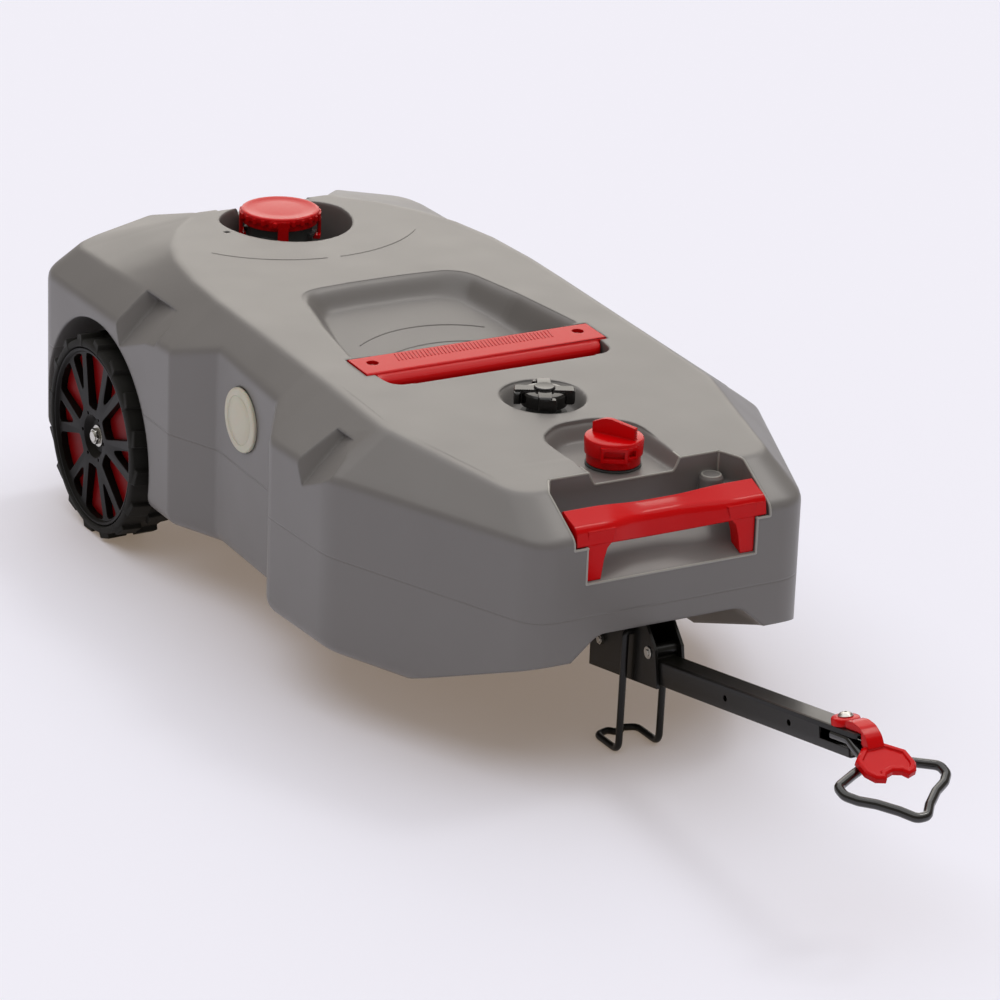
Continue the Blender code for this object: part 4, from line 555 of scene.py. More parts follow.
def stations():
    """Corners of the right half, front to rear: wall point, middle point or None, deck point, radius.

    A wall point without a height gets the one that the shoulder's slope gives.
    """
    side = HOUSING_HALF
    crown = 0.262
    front = from_front(0)
    setback = from_front(DECK_SETBACK)

    def level(x, y, deck_x, radius):
        return (x, y, None), None, (deck_x, y), radius

    def crowned(depth, crown_z, deck_x, deck_depth):
        y = from_rear(depth)
        return (side, y, SHOULDER_Z), (crown, y, crown_z), (deck_x, from_rear(deck_depth)), 0

    corner_wall = (side, from_rear(0), SHOULDER_Z)
    rear_recess = (REAR_RECESS_HALF, from_rear(REAR_RECESS), DECK_REAR_Z - 0.012)
    return [
        ((0.1, front, SHOULDER_Z), None, (0.1, setback), 0),
        ((0.187, front, SHOULDER_Z), None, (0.178, setback), 0.05),
        level(FRONT_HALF - 0.006, from_front(0.302), DECK_HALF + 0.001, 0.1),
        level(FRONT_HALF + 0.001, from_front(0.448), DECK_HALF, 0.03),
        level(WAIST_HALF + 0.003, from_front(0.507), DECK_HALF, 0.02),
        level(WAIST_HALF - 0.002, from_rear(0.485), DECK_HALF, 0.02),
        level(side, from_rear(0.406), DECK_HALF, 0.014),
        level(side, from_rear(0.311), 0.2265, 0),
        crowned(0.232, 0.359, 0.2105, 0.232),
        crowned(0.172, 0.358, 0.187, 0.172),
        crowned(0.11, 0.357, 0.15, 0.115),
        (corner_wall, (crown, from_rear(0.012), 0.356), (0.112, from_rear(0.078)), 0.035),
        ((0.15, from_rear(0), 0.371), (0.147, from_rear(0.006), 0.38), (0.106, from_rear(0.066)), 0.014),
        (rear_recess, None, (0.1, from_rear(0.062)), 0.01),
    ]


def tank_outlines():
    wall, middle, deck = [], [], []
    for (x, y, height), mid, (deck_x, deck_y), radius in stations():
        edge = Vector((deck_x, deck_y, deck_z(deck_y)))
        if height is None:
            height = max(SHOULDER_Z, edge.z - SHOULDER_SLOPE * (x - deck_x))
        foot = Vector((x, y, height))
        centre = Vector(mid) if mid else foot.lerp(edge, 0.35)
        wall.append((x, y, radius, foot.z))
        middle.append((centre.x, centre.y, radius, centre.z))
        deck.append((edge.x, edge.y, radius, edge.z))
    return mirrored(wall), mirrored(middle), mirrored(deck)


def soft_turn(before, corner, after, radius, steps=3):
    """Rings that round the edge at a ring, between its neighbours below and above."""
    start = []
    end = []
    for one, mid, two in zip(before, corner, after):
        down = one - mid
        up = two - mid
        start.append(mid + down * min(radius / max(down.length, 1e-6), 0.45))
        end.append(mid + up * min(radius / max(up.length, 1e-6), 0.45))
    return [[bend(*three, t) for three in zip(start, corner, end)] for t in shares(steps)]


def tank_body():
    wall, middle, deck = tank_outlines()
    rings = []
    for t in shares(6):
        angle = t * pi / 2
        ring = offset_outline(wall, -BOTTOM_RADIUS * (1 - sin(angle)))
        rings.append(raised(ring, TANK_BOTTOM + BOTTOM_RADIUS * (1 - cos(angle))))
    upright = offset_outline(wall, 0)
    slope = offset_outline(middle, 0)
    top = offset_outline(deck, 0)
    inner = raised(offset_outline(deck, -0.012), deck_z)
    rings += soft_turn(rings[-1], upright, slope, 0.009)
    rings += soft_turn(upright, slope, top, 0.006, 1)
    rings += soft_turn(slope, top, inner, 0.008)
    return skinned(rings + [inner], deck_z)


def scoop_floor_z(y):
    share = (SCOOP_REAR_Y - y) / SCOOP_LENGTH
    return deck_z(y) - (0.024 + 0.032 * share)


def handle_top_z(y):
    slope = (deck_z(HANDLE_REAR_Y) - deck_z(HANDLE_FRONT_Y)) / HANDLE_DEPTH
    return deck_z(HANDLE_FRONT_Y) + slope * (y - HANDLE_FRONT_Y) + 0.0015


def scoop_cutters():
    """The scoop, the slot in front of its handle's bar and the ledge that the handle's plate lies on."""
    reach = HANDLE_REAR_Y + 0.002
    half = [
        (0.138, SCOOP_FRONT_Y, 0.012), (0.138, reach, 0.004), (0.168, reach, 0.01),
        (0.1475, SCOOP_REAR_Y - 0.11, 0.25), (0.122, SCOOP_REAR_Y + 0.004, 0.115),
        (0.04, SCOOP_REAR_Y + 0.01, 0.3),
    ]
    hollow = basin(half, 0.032, scoop_floor_z, lambda y: deck_z(y) - 0.0005)
    slot_rear = HANDLE_FRONT_Y + 0.013
    slot_floor = handle_top_z(HANDLE_FRONT_Y) - 0.04
    slot_half = [(0.16, SCOOP_FRONT_Y + 0.002, 0.025), (0.166, slot_rear, 0)]
    plan = flat_outline(slot_half, 0)
    slot = skinned([raised(plan, slot_floor), raised(plan, DECK_REAR_Z + 0.02)])
    play = 5 * GAP
    low_y = HANDLE_FRONT_Y - play
    high_y = HANDLE_REAR_Y + play
    ledge = [
        (low_y, handle_top_z(low_y) - 0.01 - GAP), (high_y, handle_top_z(high_y) - 0.01 - GAP),
        (high_y, ABOVE_DECK), (low_y, ABOVE_DECK),
    ]
    return [hollow, slot, extruded(ledge, -HANDLE_HALF - play, HANDLE_HALF + play, "X")]


def inlet_cutters():
    """The inlet's well, which reaches further to the front than to the rear, and the ledge behind it."""
    middle_y = INLET_Y - 0.008
    half_width = 0.092
    front_reach = 0.11
    rear_reach = 0.066
    half = []
    for step in range(19):
        angle = radians(-88 + 9.78 * step)
        reach = front_reach if sin(angle) < 0 else rear_reach
        half.append((half_width * cos(angle), middle_y + reach * sin(angle), 0))
    well = basin(half, 0.006, lambda y: INLET_FLOOR_Z, deck_z)
    half_width = 0.071
    ledge = block((-half_width, INLET_Y + 0.05, 0.385), (half_width, REAR_Y + 0.1, ABOVE_DECK))
    return [well, ledge]


def hose_cutter():
    top = deck_z(HOSE_Y) + 0.03
    profile = [(0, HOSE_FLOOR_Z)]
    for t in shares(WALL_STEPS):
        profile.append((0.039 + 0.018 * t, HOSE_FLOOR_Z + 0.0225 * ease(t)))
    profile += [(0.057, top), (0, top)]
    return turned(profile, (0, HOSE_Y, 0), steps=72)


def vent_cutter():
    front = from_front(0.076)
    rear = from_front(0.238)
    half = [(0.068, front, 0), (0.068, rear - 0.03, 0.06), (0.0272, rear, 0.05)]
    rings = []
    for t in shares(WALL_STEPS):
        plan = flat_outline(half, -0.014 * (1 - t))
        plan = [Vector((p.x, front if p.y < front + 0.028 else p.y)) for p in plan]
        rings.append(raised(plan, VENT_FLOOR_Z + 0.02 * ease(t)))
    rings.append(raised(flat_outline(half, 0), ABOVE_DECK))
    return skinned(rings)


def front_floor_z(depth):
    """The front recess' floor rises to the rear."""
    return 0.262 + 0.5 * depth


def front_cutters():
    front = from_front(-0.1)
    rear = from_front(0.096)
    half = 0.1365
    plan = flat_outline([(half, front, 0), (half, rear - 0.03, 0.012), (0.12, rear, 0.012)], 0)
    ears = skinned([raised(plan, 0.325), raised(plan, ABOVE_DECK)])
    ends = block((-half, front, 0.308), (half, from_front(0.0435), DECK_REAR_Z + 0.02))
    well_half = 0.117 + 5 * GAP
    top = DECK_REAR_Z + 0.01
    outline = [(front, front_floor_z(-0.1)), (rear, front_floor_z(0.096)), (rear, top), (front, top)]
    return [ears, ends, extruded(outline, -well_half, well_half, "X")]


def notch_cutter(side, edge_x, start):
    """A strap's notch across the shoulder's edge: steep at its rear end, sloping out to the front."""
    outwards = Vector((side * 0.7071, 0, 0.7071))
    across = Vector((side * 0.7071, 0, -0.7071)) * 0.06
    edge = Vector((side * edge_x, 0, SHOULDER_Z))
    length = 0.09
    depth = 0.02
    face = 0.012
    stop = start - length
    profile = [
        (start + 0.002, 0.03), (start, 0.0), (start - face, -depth), (start - face - 0.004, -depth),
        (stop, 0.0), (stop - 0.03, 0.004), (stop - 0.03, 0.03),
    ]
    rings = []
    for end in (-across, across):
        rings.append([edge + outwards * height + end + Vector((0, y, 0)) for y, height in profile])
    return skinned(rings)


def underside_cutters():
    """The ramp under the nose, the bay for the tow bar's bracket and the axle's channel."""
    rise = (0.163 - TANK_BOTTOM) / 0.2
    start = from_front(0.2)
    ramp = [
        (start + 0.05, TANK_BOTTOM - rise * 0.05), (start - 0.3, TANK_BOTTOM + rise * 0.3),
        (start - 0.3, 0), (start + 0.05, 0),
    ]
    half = [(0.1885, 0), (0.1435, 0.157), (0.1, 0.194)]
    points = half + [(-x, z) for x, z in reversed(half)]
    arch = bent(points, [0, 0.03, 0.03, 0.03, 0.03, 0], CORNER_STEPS)
    bay = extruded(arch, from_front(-0.1), from_front(0.217), "Y")
    crown = AXLE_RADIUS + GAP
    sweep = [pi * k / 12 for k in range(13)]
    channel = [(0.035, -AXLE_Z), (0.035, 0), *[(crown * cos(a), crown * sin(a)) for a in sweep]]
    channel += [(-0.035, 0), (-0.035, -AXLE_Z)]
    groove = extruded([(AXLE_Y + y, AXLE_Z + z) for y, z in channel], -0.243, 0.243, "X")
    return [extruded(ramp, -FAR, FAR, "X"), bay, groove]


def make_rims(shape):
    """The rolled rim along every sharp edge of the front recess."""
    radius = 0.0016
    rims = bmesh.new()
    for edge in shape.edges:
        middle = (edge.verts[0].co + edge.verts[1].co) / 2
        inside = abs(middle.x) < 0.139 and middle.y < from_front(0.112) and middle.z > 0.2
        sound = len(edge.link_faces) == 2 and edge.calc_length() >= 0.0004
        if not (inside and sound) or edge.calc_face_angle_signed(0) < radians(38):
            continue
        inwards = -sum((face.normal for face in edge.link_faces), Vector()).normalized()
        ends = [vert.co + inwards * radius * 0.72 for vert in edge.verts]
        along = ends[1] - ends[0]
        turn = along.to_track_quat("Z", "Y").to_matrix().to_4x4()
        place = Matrix.Translation((ends[0] + ends[1]) / 2) @ turn
        bmesh.ops.create_cone(
            rims, segments=10, radius1=radius, radius2=radius, depth=along.length, matrix=place
        )
        for end in ends:
            bmesh.ops.create_icosphere(rims, subdivisions=2, radius=radius, matrix=Matrix.Translation(end))
    # The rims' pale colour is a painted highlight along the recess's rounded edges
    piece("front_recess_rims", rims, "tank_shell", RIM_PAINTED_HIGHLIGHT, extra=True)


def make_tank():
    """The body with everything cut from it: arches, notches, recesses, ports and a tether's hole."""
    cutters = []
    for side, _ in SIDES:
        cutters += [
            cylinder(ARCH_RADIUS, *span(side, ARCH_INNER_X, FAR), AXLE, "X", 96),
            notch_cutter(side, HOUSING_HALF, from_rear(0.243)),
            notch_cutter(side, FRONT_HALF - 0.004, from_front(0.375)),
        ]
    cutters += [*scoop_cutters(), *inlet_cutters(), hose_cutter(), vent_cutter()]
    cutters += [*front_cutters(), *underside_cutters()]
    tether_y = from_rear(0.158)
    cutters += [
        cylinder(0.0425 + 2 * GAP, -0.02, 0, GAUGE, "X"),
        cylinder(0.0445 + GAP, -0.05, 0.02, (0, INLET_Y, INLET_FLOOR_Z)),
        cylinder(0.022 + GAP, -0.05, 0.02, (0, HOSE_Y, HOSE_FLOOR_Z)),
        cylinder(0.03 + GAP, -0.05, 0.02, (0, VENT_Y, VENT_FLOOR_Z)),
        cylinder(0.03 + GAP, -0.02, 0.05, GAUGE, "X"),
        cylinder(0.004, -0.012, 0.01, (-0.1, tether_y, deck_z(tether_y)), "Z", 24),
    ]
    shape = carved(tank_body(), "DIFFERENCE", *cutters)
    boss_profile = [(0, -0.03), (0.015, -0.03), (0.015, -0.011), (0.012, -0.007), (0, -0.006)]
    boss = turned(boss_profile, (0.103, from_front(0.084), 0.345), steps=40)
    shape = carved(shape, "UNION", boss)
    make_rims(shape)
    piece("tank", shape, "tank_shell", smooth=32, even=True)


def make_bead(name, centre_y, radius, start, end, height):
    """A raised arc on the tank, slightly squashed, from one angle to another on a surface's height."""
    steps = 48
    sunk = Vector((0, 0, 0.0008))
    line = []
    for k in range(steps + 1):
        angle = radians(start + (end - start) * k / steps)
        y = centre_y + radius * 0.9 * sin(angle)
        line.append(Vector((radius * cos(angle), y, height(y))) - sunk)
    rod(name, line, 0.0014, "tank_shell", extra=True)


def make_beads():
    make_bead("deck_arc_left", INLET_Y - 0.02, 0.185, -148, -97, deck_z)
    make_bead("deck_arc_right", INLET_Y - 0.02, 0.185, -91, -40, deck_z)
    make_bead("scoop_arc_rear", from_rear(0.64), 0.15, 128, 52, scoop_floor_z)
    make_bead("scoop_arc_front", from_rear(0.69), 0.15, 128, 52, scoop_floor_z)


# Caps and fittings


def sector(inner, outer, start, end, low, high, centre):
    """A block between two radii and two angles, in degrees."""
    angles = [radians(start + (end - start) * k / 10) for k in range(11)]
    arc = [(outer * cos(a), outer * sin(a)) for a in angles]
    arc += [(inner * cos(a), inner * sin(a)) for a in reversed(angles)]
    return extruded([(centre[0] + x, centre[1] + y) for x, y in arc], low, high)


# The turn of the bayonet cap's four hooks, in degrees
HOOK_TURN = -28


def make_inlet_cap():
    """The bayonet cap: a scalloped rim with four hooks and a short pin."""
    centre = (0, INLET_Y, 0)
    under = 0.3871
    top = 0.4055
    rim = top - 0.0095
    profile = [
        (0, under), (0.0515, under), (0.0515, rim), (0.0536, rim), (0.054, rim + 0.001),
        (0.054, top - 0.003), (0.0534, top - 0.0012), (0.052, top - 0.0002), (0.0502, top),
        (0.0468, top - 0.0003), (0.0442, top - 0.0013), (0.03, top - 0.0006), (0, top + 0.0004),
    ]
    shape = turned(profile, centre, steps=96)
    tools = []
    for k in range(4):
        middle = k * 90 + HOOK_TURN
        tools.append(sector(0.0519, 0.0562, middle - 15, middle + 15, rim - 0.004, top - 0.004, centre))
        tools.append(sector(0.0522, 0.0564, middle - 2, middle + 13, 0.3668, rim - 0.003, centre))
        tools.append(sector(0.0475, 0.0564, middle - 15, middle + 13, 0.3662, 0.3716, centre))
    for k in range(24):
        angle = radians(k * 15 + 7.5)
        spot = (0.0531 * cos(angle), INLET_Y + 0.0531 * sin(angle), 0)
        tools.append(cylinder(0.0034, rim - 0.0016, top - 0.0034, spot, "Z", 16))
    pin = cylinder(0.0036, 0.05, 0.0605, (0, 0, 0), "X", 24)
    tools.append(placed(pin, around(INLET_Y, -124, rim + 0.002)))
    shape = carved(shape, "UNION", *tools)
    piece("inlet_cap_moulding", shape, "inlet_cap", bevel=0.0005)


def make_hose_cap():
    """The threaded cap with four bevelled wings, a hook on each and a low disc on top."""
    roof = HOSE_FLOOR_Z + 0.026 + 3 * GAP + 0.002
    top = roof + 0.004
    low = top - 0.019
    profile = [
        (0, roof), (0.0235, roof), (0.0235, low), (0.029, low), (0.029, top - 0.004),
        (0.027, top - 0.0015),
    ]
    profile += [(0.022, top - 0.0006), (0, top)]
    shape = turned(profile, (0, HOSE_Y, 0), steps=72)
    wings = []
    for k in range(4):
        blade = block((0.01, -0.0085, low + 0.002), (0.0385, 0.0085, top + 0.0016))
        bevel_edges(blade, [e for e in blade.edges if min(v.co.x for v in e.verts) > 0.03], 0.004, 4)
        hook = block((0.03, 0.004, low + 0.002), (0.0385, 0.015, top - 0.001))
        bevel_edges(hook, [e for e in hook.edges if min(v.co.y for v in e.verts) > 0.01], 0.004, 4)
        place = around(HOSE_Y, 90 * k - 118)
        wings += [placed(blade, place), placed(hook, place)]
    shape = carved(shape, "UNION", *wings)
    disc = [(0, top), (0.0135, top), (0.0135, top + 0.0036), (0.0122, top + 0.0046)]
    disc += [(0.0095, top + 0.0042), (0, top + 0.0042)]
    shape = carved(shape, "UNION", turned(disc, (0, HOSE_Y, 0), steps=48))
    shape = carved(shape, "DIFFERENCE", cylinder(0.0235, low - 0.01, roof, (0, HOSE_Y, 0)))
    piece("hose_cap_moulding", shape, "hose_cap", bevel=0.001)


def make_vent_cap():
    """The threaded cap with two framed slots in its skirt and a notched fin across its top."""
    roof = VENT_FLOOR_Z + 0.026 + 3 * GAP + 0.002
    top = roof + 0.0085
    low = VENT_FLOOR_Z + 0.004
    band = top - 0.022
    profile = [
        (0, roof), (0.0312, roof), (0.0312, low), (0.0335, low), (0.0338, band), (0.036, band + 0.001),
        (0.0368, top - 0.003), (0.0358, top - 0.0008), (0.034, top), (0, top),
    ]
    shape = turned(profile, (0, VENT_Y, 0), steps=96)
    wide_turn = around(VENT_Y, -120)
    narrow_turn = around(VENT_Y, -84)
    wide = placed(block((0.028, -0.0165, band - 0.001), (0.0385, 0.0165, top - 0.004)), wide_turn)
    narrow = placed(block((0.03, -0.008, band + 0.002), (0.0385, 0.008, top - 0.004)), narrow_turn)
    shape = carved(shape, "UNION", wide, narrow)
    wide = placed(block((0.0325, -0.0125, band + 0.0045), (0.05, 0.0125, top - 0.0085)), wide_turn)
    narrow = placed(block((0.0325, -0.005, band + 0.006), (0.05, 0.005, top - 0.0085)), narrow_turn)
    shape = carved(shape, "DIFFERENCE", wide, narrow)
    length = 0.029
    outline = [(-length, top - 0.002), (-length, top + 0.0125)]
    crest = [(-length, top + 0.0125), (-0.01, top + 0.0215), (length, top + 0.015)]
    outline += bent(crest, [0, 0.04, 0], 8)[1:]
    for step in range(6):
        drop = 0.0026 * step
        outline += [(length + 0.0012, top + 0.0135 - drop), (length - 0.0004, top + 0.0122 - drop)]
    outline.append((length, top - 0.002))
    fin = extruded(outline, -0.0032, 0.0032, "Y")
    shape = carved(shape, "UNION", placed(fin, around(VENT_Y, -59)))
    piece("vent_cap_moulding", shape, "vent_cap", bevel=0.0006)


def make_gauge():
    """The lens: its radii with their depths from the waist's wall, the outside being negative."""
    back = -GAP - 0.002 - GAP
    profile = [
        (0, 0.011), (0.03, 0.011), (0.03, back), (0.0425, back), (0.0425, back - 0.0028),
        (0.0415, back - 0.0042), (0.0395, back - 0.0048), (0.033, back - 0.005),
        (0.0318, back - 0.0042), (0.0306, back - 0.005), (0.02, back - 0.0064), (0, back - 0.0068),
    ]
    piece("level_gauge_lens", turned(profile, GAUGE, "X"), "level_gauge")


# Handles


def make_deck_handle():
    """The plate with its finger bar, two screws and a row of slanted ribs."""
    front = HANDLE_FRONT_Y
    rear = HANDLE_REAR_Y
    top = handle_top_z(front)
    base = handle_top_z(rear) - 0.01
    plate = [
        (rear, base), (rear, handle_top_z(rear) - 0.003), (rear - 0.001, handle_top_z(rear) - 0.0008),
        (rear - 0.003, handle_top_z(rear)), (front + 0.002, top + 0.0001), (front, top - 0.001),
        (front - 0.001, top - 0.004), (front - 0.0005, top - 0.01),
    ]
    shape = extruded(plate, -HANDLE_HALF, HANDLE_HALF, "X")
    corners = [e for e in shape.edges if abs(e.verts[0].co.x) > 0.17 and e.calc_length() > 0.04]
    bevel_edges(shape, corners, 0.0015, 2)
    rings = []
    stops = [(-1, 0.25), (-0.992, 0.55), (-0.972, 0.8), (-0.94, 0.95), (-0.9, 1)]
    stops += [(-x, share) for x, share in reversed(stops)]
    for x, share in stops:
        reach = 0.0135 * (0.55 + 0.45 * share)
        hang = 0.03 * (0.45 + 0.55 * share)
        corners = [
            (front + 0.009, top - 0.007), (front - 0.1 * reach, top - 0.0022),
            (front - 0.98 * reach, top - 0.35 * hang), (front - 0.95 * reach, top - 0.92 * hang),
            (front - 0.2 * reach, top - hang), (front + 0.008, top - 0.62 * hang),
        ]
        section = bent(corners, [0.001, 0.004, 0.012, 0.008, 0.006, 0.006], 5, closed=True)
        rings.append([Vector((x * HANDLE_BAR_HALF, y, z)) for y, z in section])
    shape = carved(shape, "UNION", skinned(rings))
    middle = (front + rear) / 2 + 0.004
    height = handle_top_z(middle)
    holes = []
    for side, _ in SIDES:
        spot = (side * HANDLE_SCREW_X, middle, 0)
        holes.append(cylinder(0.0078, height - 0.0062, height + 0.01, spot, "Z", 40))
        holes.append(cylinder(0.0026, height - 0.02, height, spot, "Z", 24))
    shape = carved(shape, "DIFFERENCE", *holes)
    piece("deck_handle_moulding", shape, "deck_handle", smooth=40, even=True)
    profile = [(0, -0.006), (0.0056, -0.006), (0.0056, -0.0036), (0.004, -0.0026), (0, -0.0022)]
    for side, word in SIDES:
        head = turned([(r, height + z) for r, z in profile], (side * HANDLE_SCREW_X, middle, 0), steps=32)
        node = f"deck_handle_screw_{word}"
        piece(f"{node}_head", head, node, RED_SCREW)
    tilt = (handle_top_z(rear) - handle_top_z(front)) / HANDLE_DEPTH
    count = 44
    rib_y = middle + 0.006
    ribs = bmesh.new()
    for k in range(count):
        x = -0.112 + 0.224 * k / (count - 1)
        rib = bmesh.ops.create_cube(ribs, size=1)["verts"]
        bmesh.ops.scale(ribs, vec=(0.0017, 0.022, 0.0011), verts=rib)
        turn_verts(ribs, rib, radians(-12), "Z")
        turn_verts(ribs, rib, tilt, "X")
        bmesh.ops.translate(ribs, vec=(x, rib_y, handle_top_z(rib_y)), verts=rib)
    piece("deck_handle_ribs", ribs, "deck_handle", extra=True)


def grip_section(x, rear, rear_z, front, front_z, low):
    """The grip's hooked section: a plate that rolls over into a front skirt."""
    wall = 0.008
    slope = (rear_z - front_z) / (rear - front)
    line = [(rear, rear_z - 0.002), (rear - 0.003, rear_z)]
    roll = [
        (front + 0.018, front_z + 0.018 * slope), (front, front_z + 0.0005), (front - 0.003, low + 0.006)
    ]
    line += bent(roll, [0, 0.015, 0], 10)
    line += [(front - 0.0035, low + 0.002), (front - 0.0015, low)]
    line += [(front - 0.004 + wall, low), (front - 0.003 + wall, low + 0.002)]
    under = [
        (front - 0.003 + wall, low + 0.003), (front + wall, front_z - wall), (rear - 0.001, rear_z - wall)
    ]
    line += bent(under, [0, 0.006, 0], 6)
    line.append((rear, rear_z - wall + 0.001))
    return [Vector((x, from_front(y), z)) for y, z in line]


def make_front_handle():
    """The grip, deeper towards its ends, on two legs with an ear and a side block each."""
    middle = (0.0466, 0.338, 0.0225, 0.327, 0.3)
    end = (0.042, 0.3435, 0.006, 0.3315, 0.3083)
    sections = []
    count = 40
    for k in range(count + 1):
        x = -0.1325 + 0.265 * k / count
        share = ease(min(max((abs(x) - 0.02) / 0.074, 0), 1))
        numbers = [a + (b - a) * share for a, b in zip(middle, end)]
        sections.append(grip_section(x, *numbers))
    shape = skinned(sections)
    inner = 0.094
    outer = 0.117
    foot_z = front_floor_z(0.0035) + GAP
    tools = []
    for side, _ in SIDES:
        leg = [
            (outer, foot_z), (outer, 0.327), (inner - 0.016, 0.327), (inner - 0.012, 0.312),
            (inner - 0.004, 0.303), (inner, 0.29), (inner + 0.004, foot_z),
        ]
        upright = extruded([(side * x, z) for x, z in leg], from_front(0.0035), from_front(0.022), "Y")
        floor = [(from_front(depth), front_floor_z(depth) + GAP) for depth in (-0.02, 0.06)]
        floor += [(y, 0.2) for y, _ in reversed(floor)]
        tools.append(carved(upright, "DIFFERENCE", extruded(floor, -0.2, 0.2, "X")))
        end_block = [(0.0045, 0.3083), (0.0425, 0.3083), (0.0425, 0.337), (0.0045, 0.326)]
        end_block = [(from_front(depth), z) for depth, z in end_block]
        tools.append(extruded(end_block, *span(side, 0.115, 0.132), "X"))
        low, high = span(side, 0.1045, 0.1335)
        tools.append(block((low, from_front(0.0355), 0.3253), (high, from_front(0.0635), 0.3303)))
    shape = carved(shape, "UNION", *tools)
    piece("front_handle_moulding", shape, "front_handle", smooth=38, even=True)


# Wheels


def wheel_turned(profile, side, steps):
    return turned([(radius, side * x) for radius, x in profile], AXLE, "X", steps)


def wheel_window(corners, turn, side):
    """A cutter for an opening between spokes, with its corners at (radius, degrees from its middle)."""
    points = []
    for radius, off in corners:
        angle = turn + radians(off)
        points.append((AXLE_Y + radius * cos(angle), AXLE_Z + radius * sin(angle)))
    outline = bent(points, [0.006] * len(points), 4, closed=True)
    return extruded(outline, *span(side, WHEEL_OUTER_X - 0.03, WHEEL_OUTER_X + 0.01), "X")


def make_rim(side, word):
    """The rim with six pairs of spokes: a narrow window in each pair and a wide one between pairs."""
    inner = WHEEL_OUTER_X - WHEEL_WIDTH + 0.002
    outer = WHEEL_OUTER_X - 0.002
    face = WHEEL_OUTER_X - 0.004
    back = face - 0.012
    hub_face = WHEEL_OUTER_X - 0.013
    barrel = RIM_RADIUS - 0.005
    profile = [
        (0.0128, inner), (0.0128, hub_face), (0.022, hub_face), (0.025, hub_face + 0.003),
        (0.03, face - 0.001), (0.04, face), (barrel - 0.004, face - 0.003),
        (barrel - 0.001, face - 0.002), (barrel + 0.001, outer - 0.0006), (barrel + 0.002, outer),
        (RIM_RADIUS - 0.0006, outer), (RIM_RADIUS, outer - 0.0008), (RIM_RADIUS, inner), (barrel, inner),
        (barrel, back), (0.02, back), (0.02, inner),
    ]
    shape = wheel_turned(profile, side, 120)
    reach = 0.1145
    narrow = [(reach - 0.001, -8.5), (reach, 0), (reach - 0.001, 8.5), (0.056, 0)]
    wide = [(reach, -14.5), (reach + 0.001, -5), (reach + 0.001, 5), (reach, 14.5)]
    wide += [(0.043, 17), (0.04, 0), (0.043, -17)]
    hole_ring = 0.033
    tools = []
    for k in range(6):
        turn = 2 * pi * k / 6
        tools += [wheel_window(narrow, turn, side), wheel_window(wide, turn + pi / 6, side)]
        spot = (0, AXLE_Y + hole_ring * cos(turn), AXLE_Z + hole_ring * sin(turn))
        tools.append(
            cylinder(0.0025, *span(side, WHEEL_OUTER_X - 0.01, WHEEL_OUTER_X + 0.01), spot, "X", 16)
        )
    shape = carved(shape, "DIFFERENCE", *tools)
    piece(f"{word}_wheel_rim", shape, f"{word}_rim", bevel=0.0007)


def make_tyre(side, word):
    """The tyre with two staggered rows of tapered lugs."""
    tread = 0.1335
    bore = RIM_RADIUS + 0.0012
    width = WHEEL_WIDTH
    half = [
        (bore, 0.003), (bore + 0.001, 0.0006), (bore + 0.003, 0),
        (tread - 0.003, 0.0006), (tread - 0.0008, 0.002), (tread, 0.005),
    ]
    profile = half + [(radius, width - x) for radius, x in reversed(half)]
    shape = wheel_turned([(radius, WHEEL_OUTER_X - x) for radius, x in profile], side, 96)
    count = 16
    for k in range(count):
        for row in (0, 1):
            turn = 2 * pi * (k + 0.5 * row + 0.27) / count
            near = 0.0008 if row == 0 else 0.036
            far = 0.034 if row == 0 else width - 0.0008
            lug = bmesh.ops.create_cube(shape, size=1)["verts"]
            bmesh.ops.scale(shape, vec=(far - near, 0.025, 0.016), verts=lug)
            top = [v for v in lug if v.co.z > 0]
            bmesh.ops.scale(shape, vec=(0.9, 0.82, 1), verts=top)
            turn_verts(shape, lug, radians(9 if row else -9), "Z")
            x = side * (WHEEL_OUTER_X - (near + far) / 2)
            bmesh.ops.translate(shape, vec=(0, 0, WHEEL_RADIUS - 0.0083), verts=lug)
            turn_verts(shape, lug, turn - pi / 2, "X")
            bmesh.ops.translate(shape, vec=(x, AXLE_Y, AXLE_Z), verts=lug)
    piece(f"{word}_tyre_lugged", shape, f"{word}_tyre", bevel=0.0012)


def make_disc(side, word):
    """The flat red disc that lies behind the spokes."""
    face = WHEEL_OUTER_X - 0.004 - 0.012 - GAP
    profile = [(0.0203, face), (0.1162, face), (0.1162, face - 0.003), (0.0203, face - 0.003)]
    shape = wheel_turned(profile, side, 96)
    # The disc's darker red is painted shade from the spokes in front of it
    piece(f"{word}_red_disc", shape, f"{word}_wheel_disc", DISC_RED_PAINTED_SHADE)


def make_wheel_ends(side, word):
    """The hexagon nut on the axle's end, with its corners turned off."""
    low = WHEEL_OUTER_X - 0.0104
    high = low + 0.0055
    corners = [(0.0112 * cos(pi * k / 3), 0.0112 * sin(pi * k / 3)) for k in range(6)]
    nut = extruded([(AXLE_Y + y, AXLE_Z + z) for y, z in corners], *span(side, low, high), "X")
    dome = [(0, low - 0.002), (0.0125, low - 0.002), (0.0116, low + 0.0022)]
    dome += [(0.0102, high), (0.009, high + 0.0002), (0, high + 0.0002)]
    nut = carved(nut, "INTERSECT", wheel_turned(dome, side, 48))
    nut = carved(nut, "DIFFERENCE", cylinder(AXLE_RADIUS + GAP, -1, 1, AXLE, "X", 48))
    piece(f"{word}_castle_nut", nut, f"{word}_axle_nut", bevel=0.0004)


# The tow bar's end and the kickstand

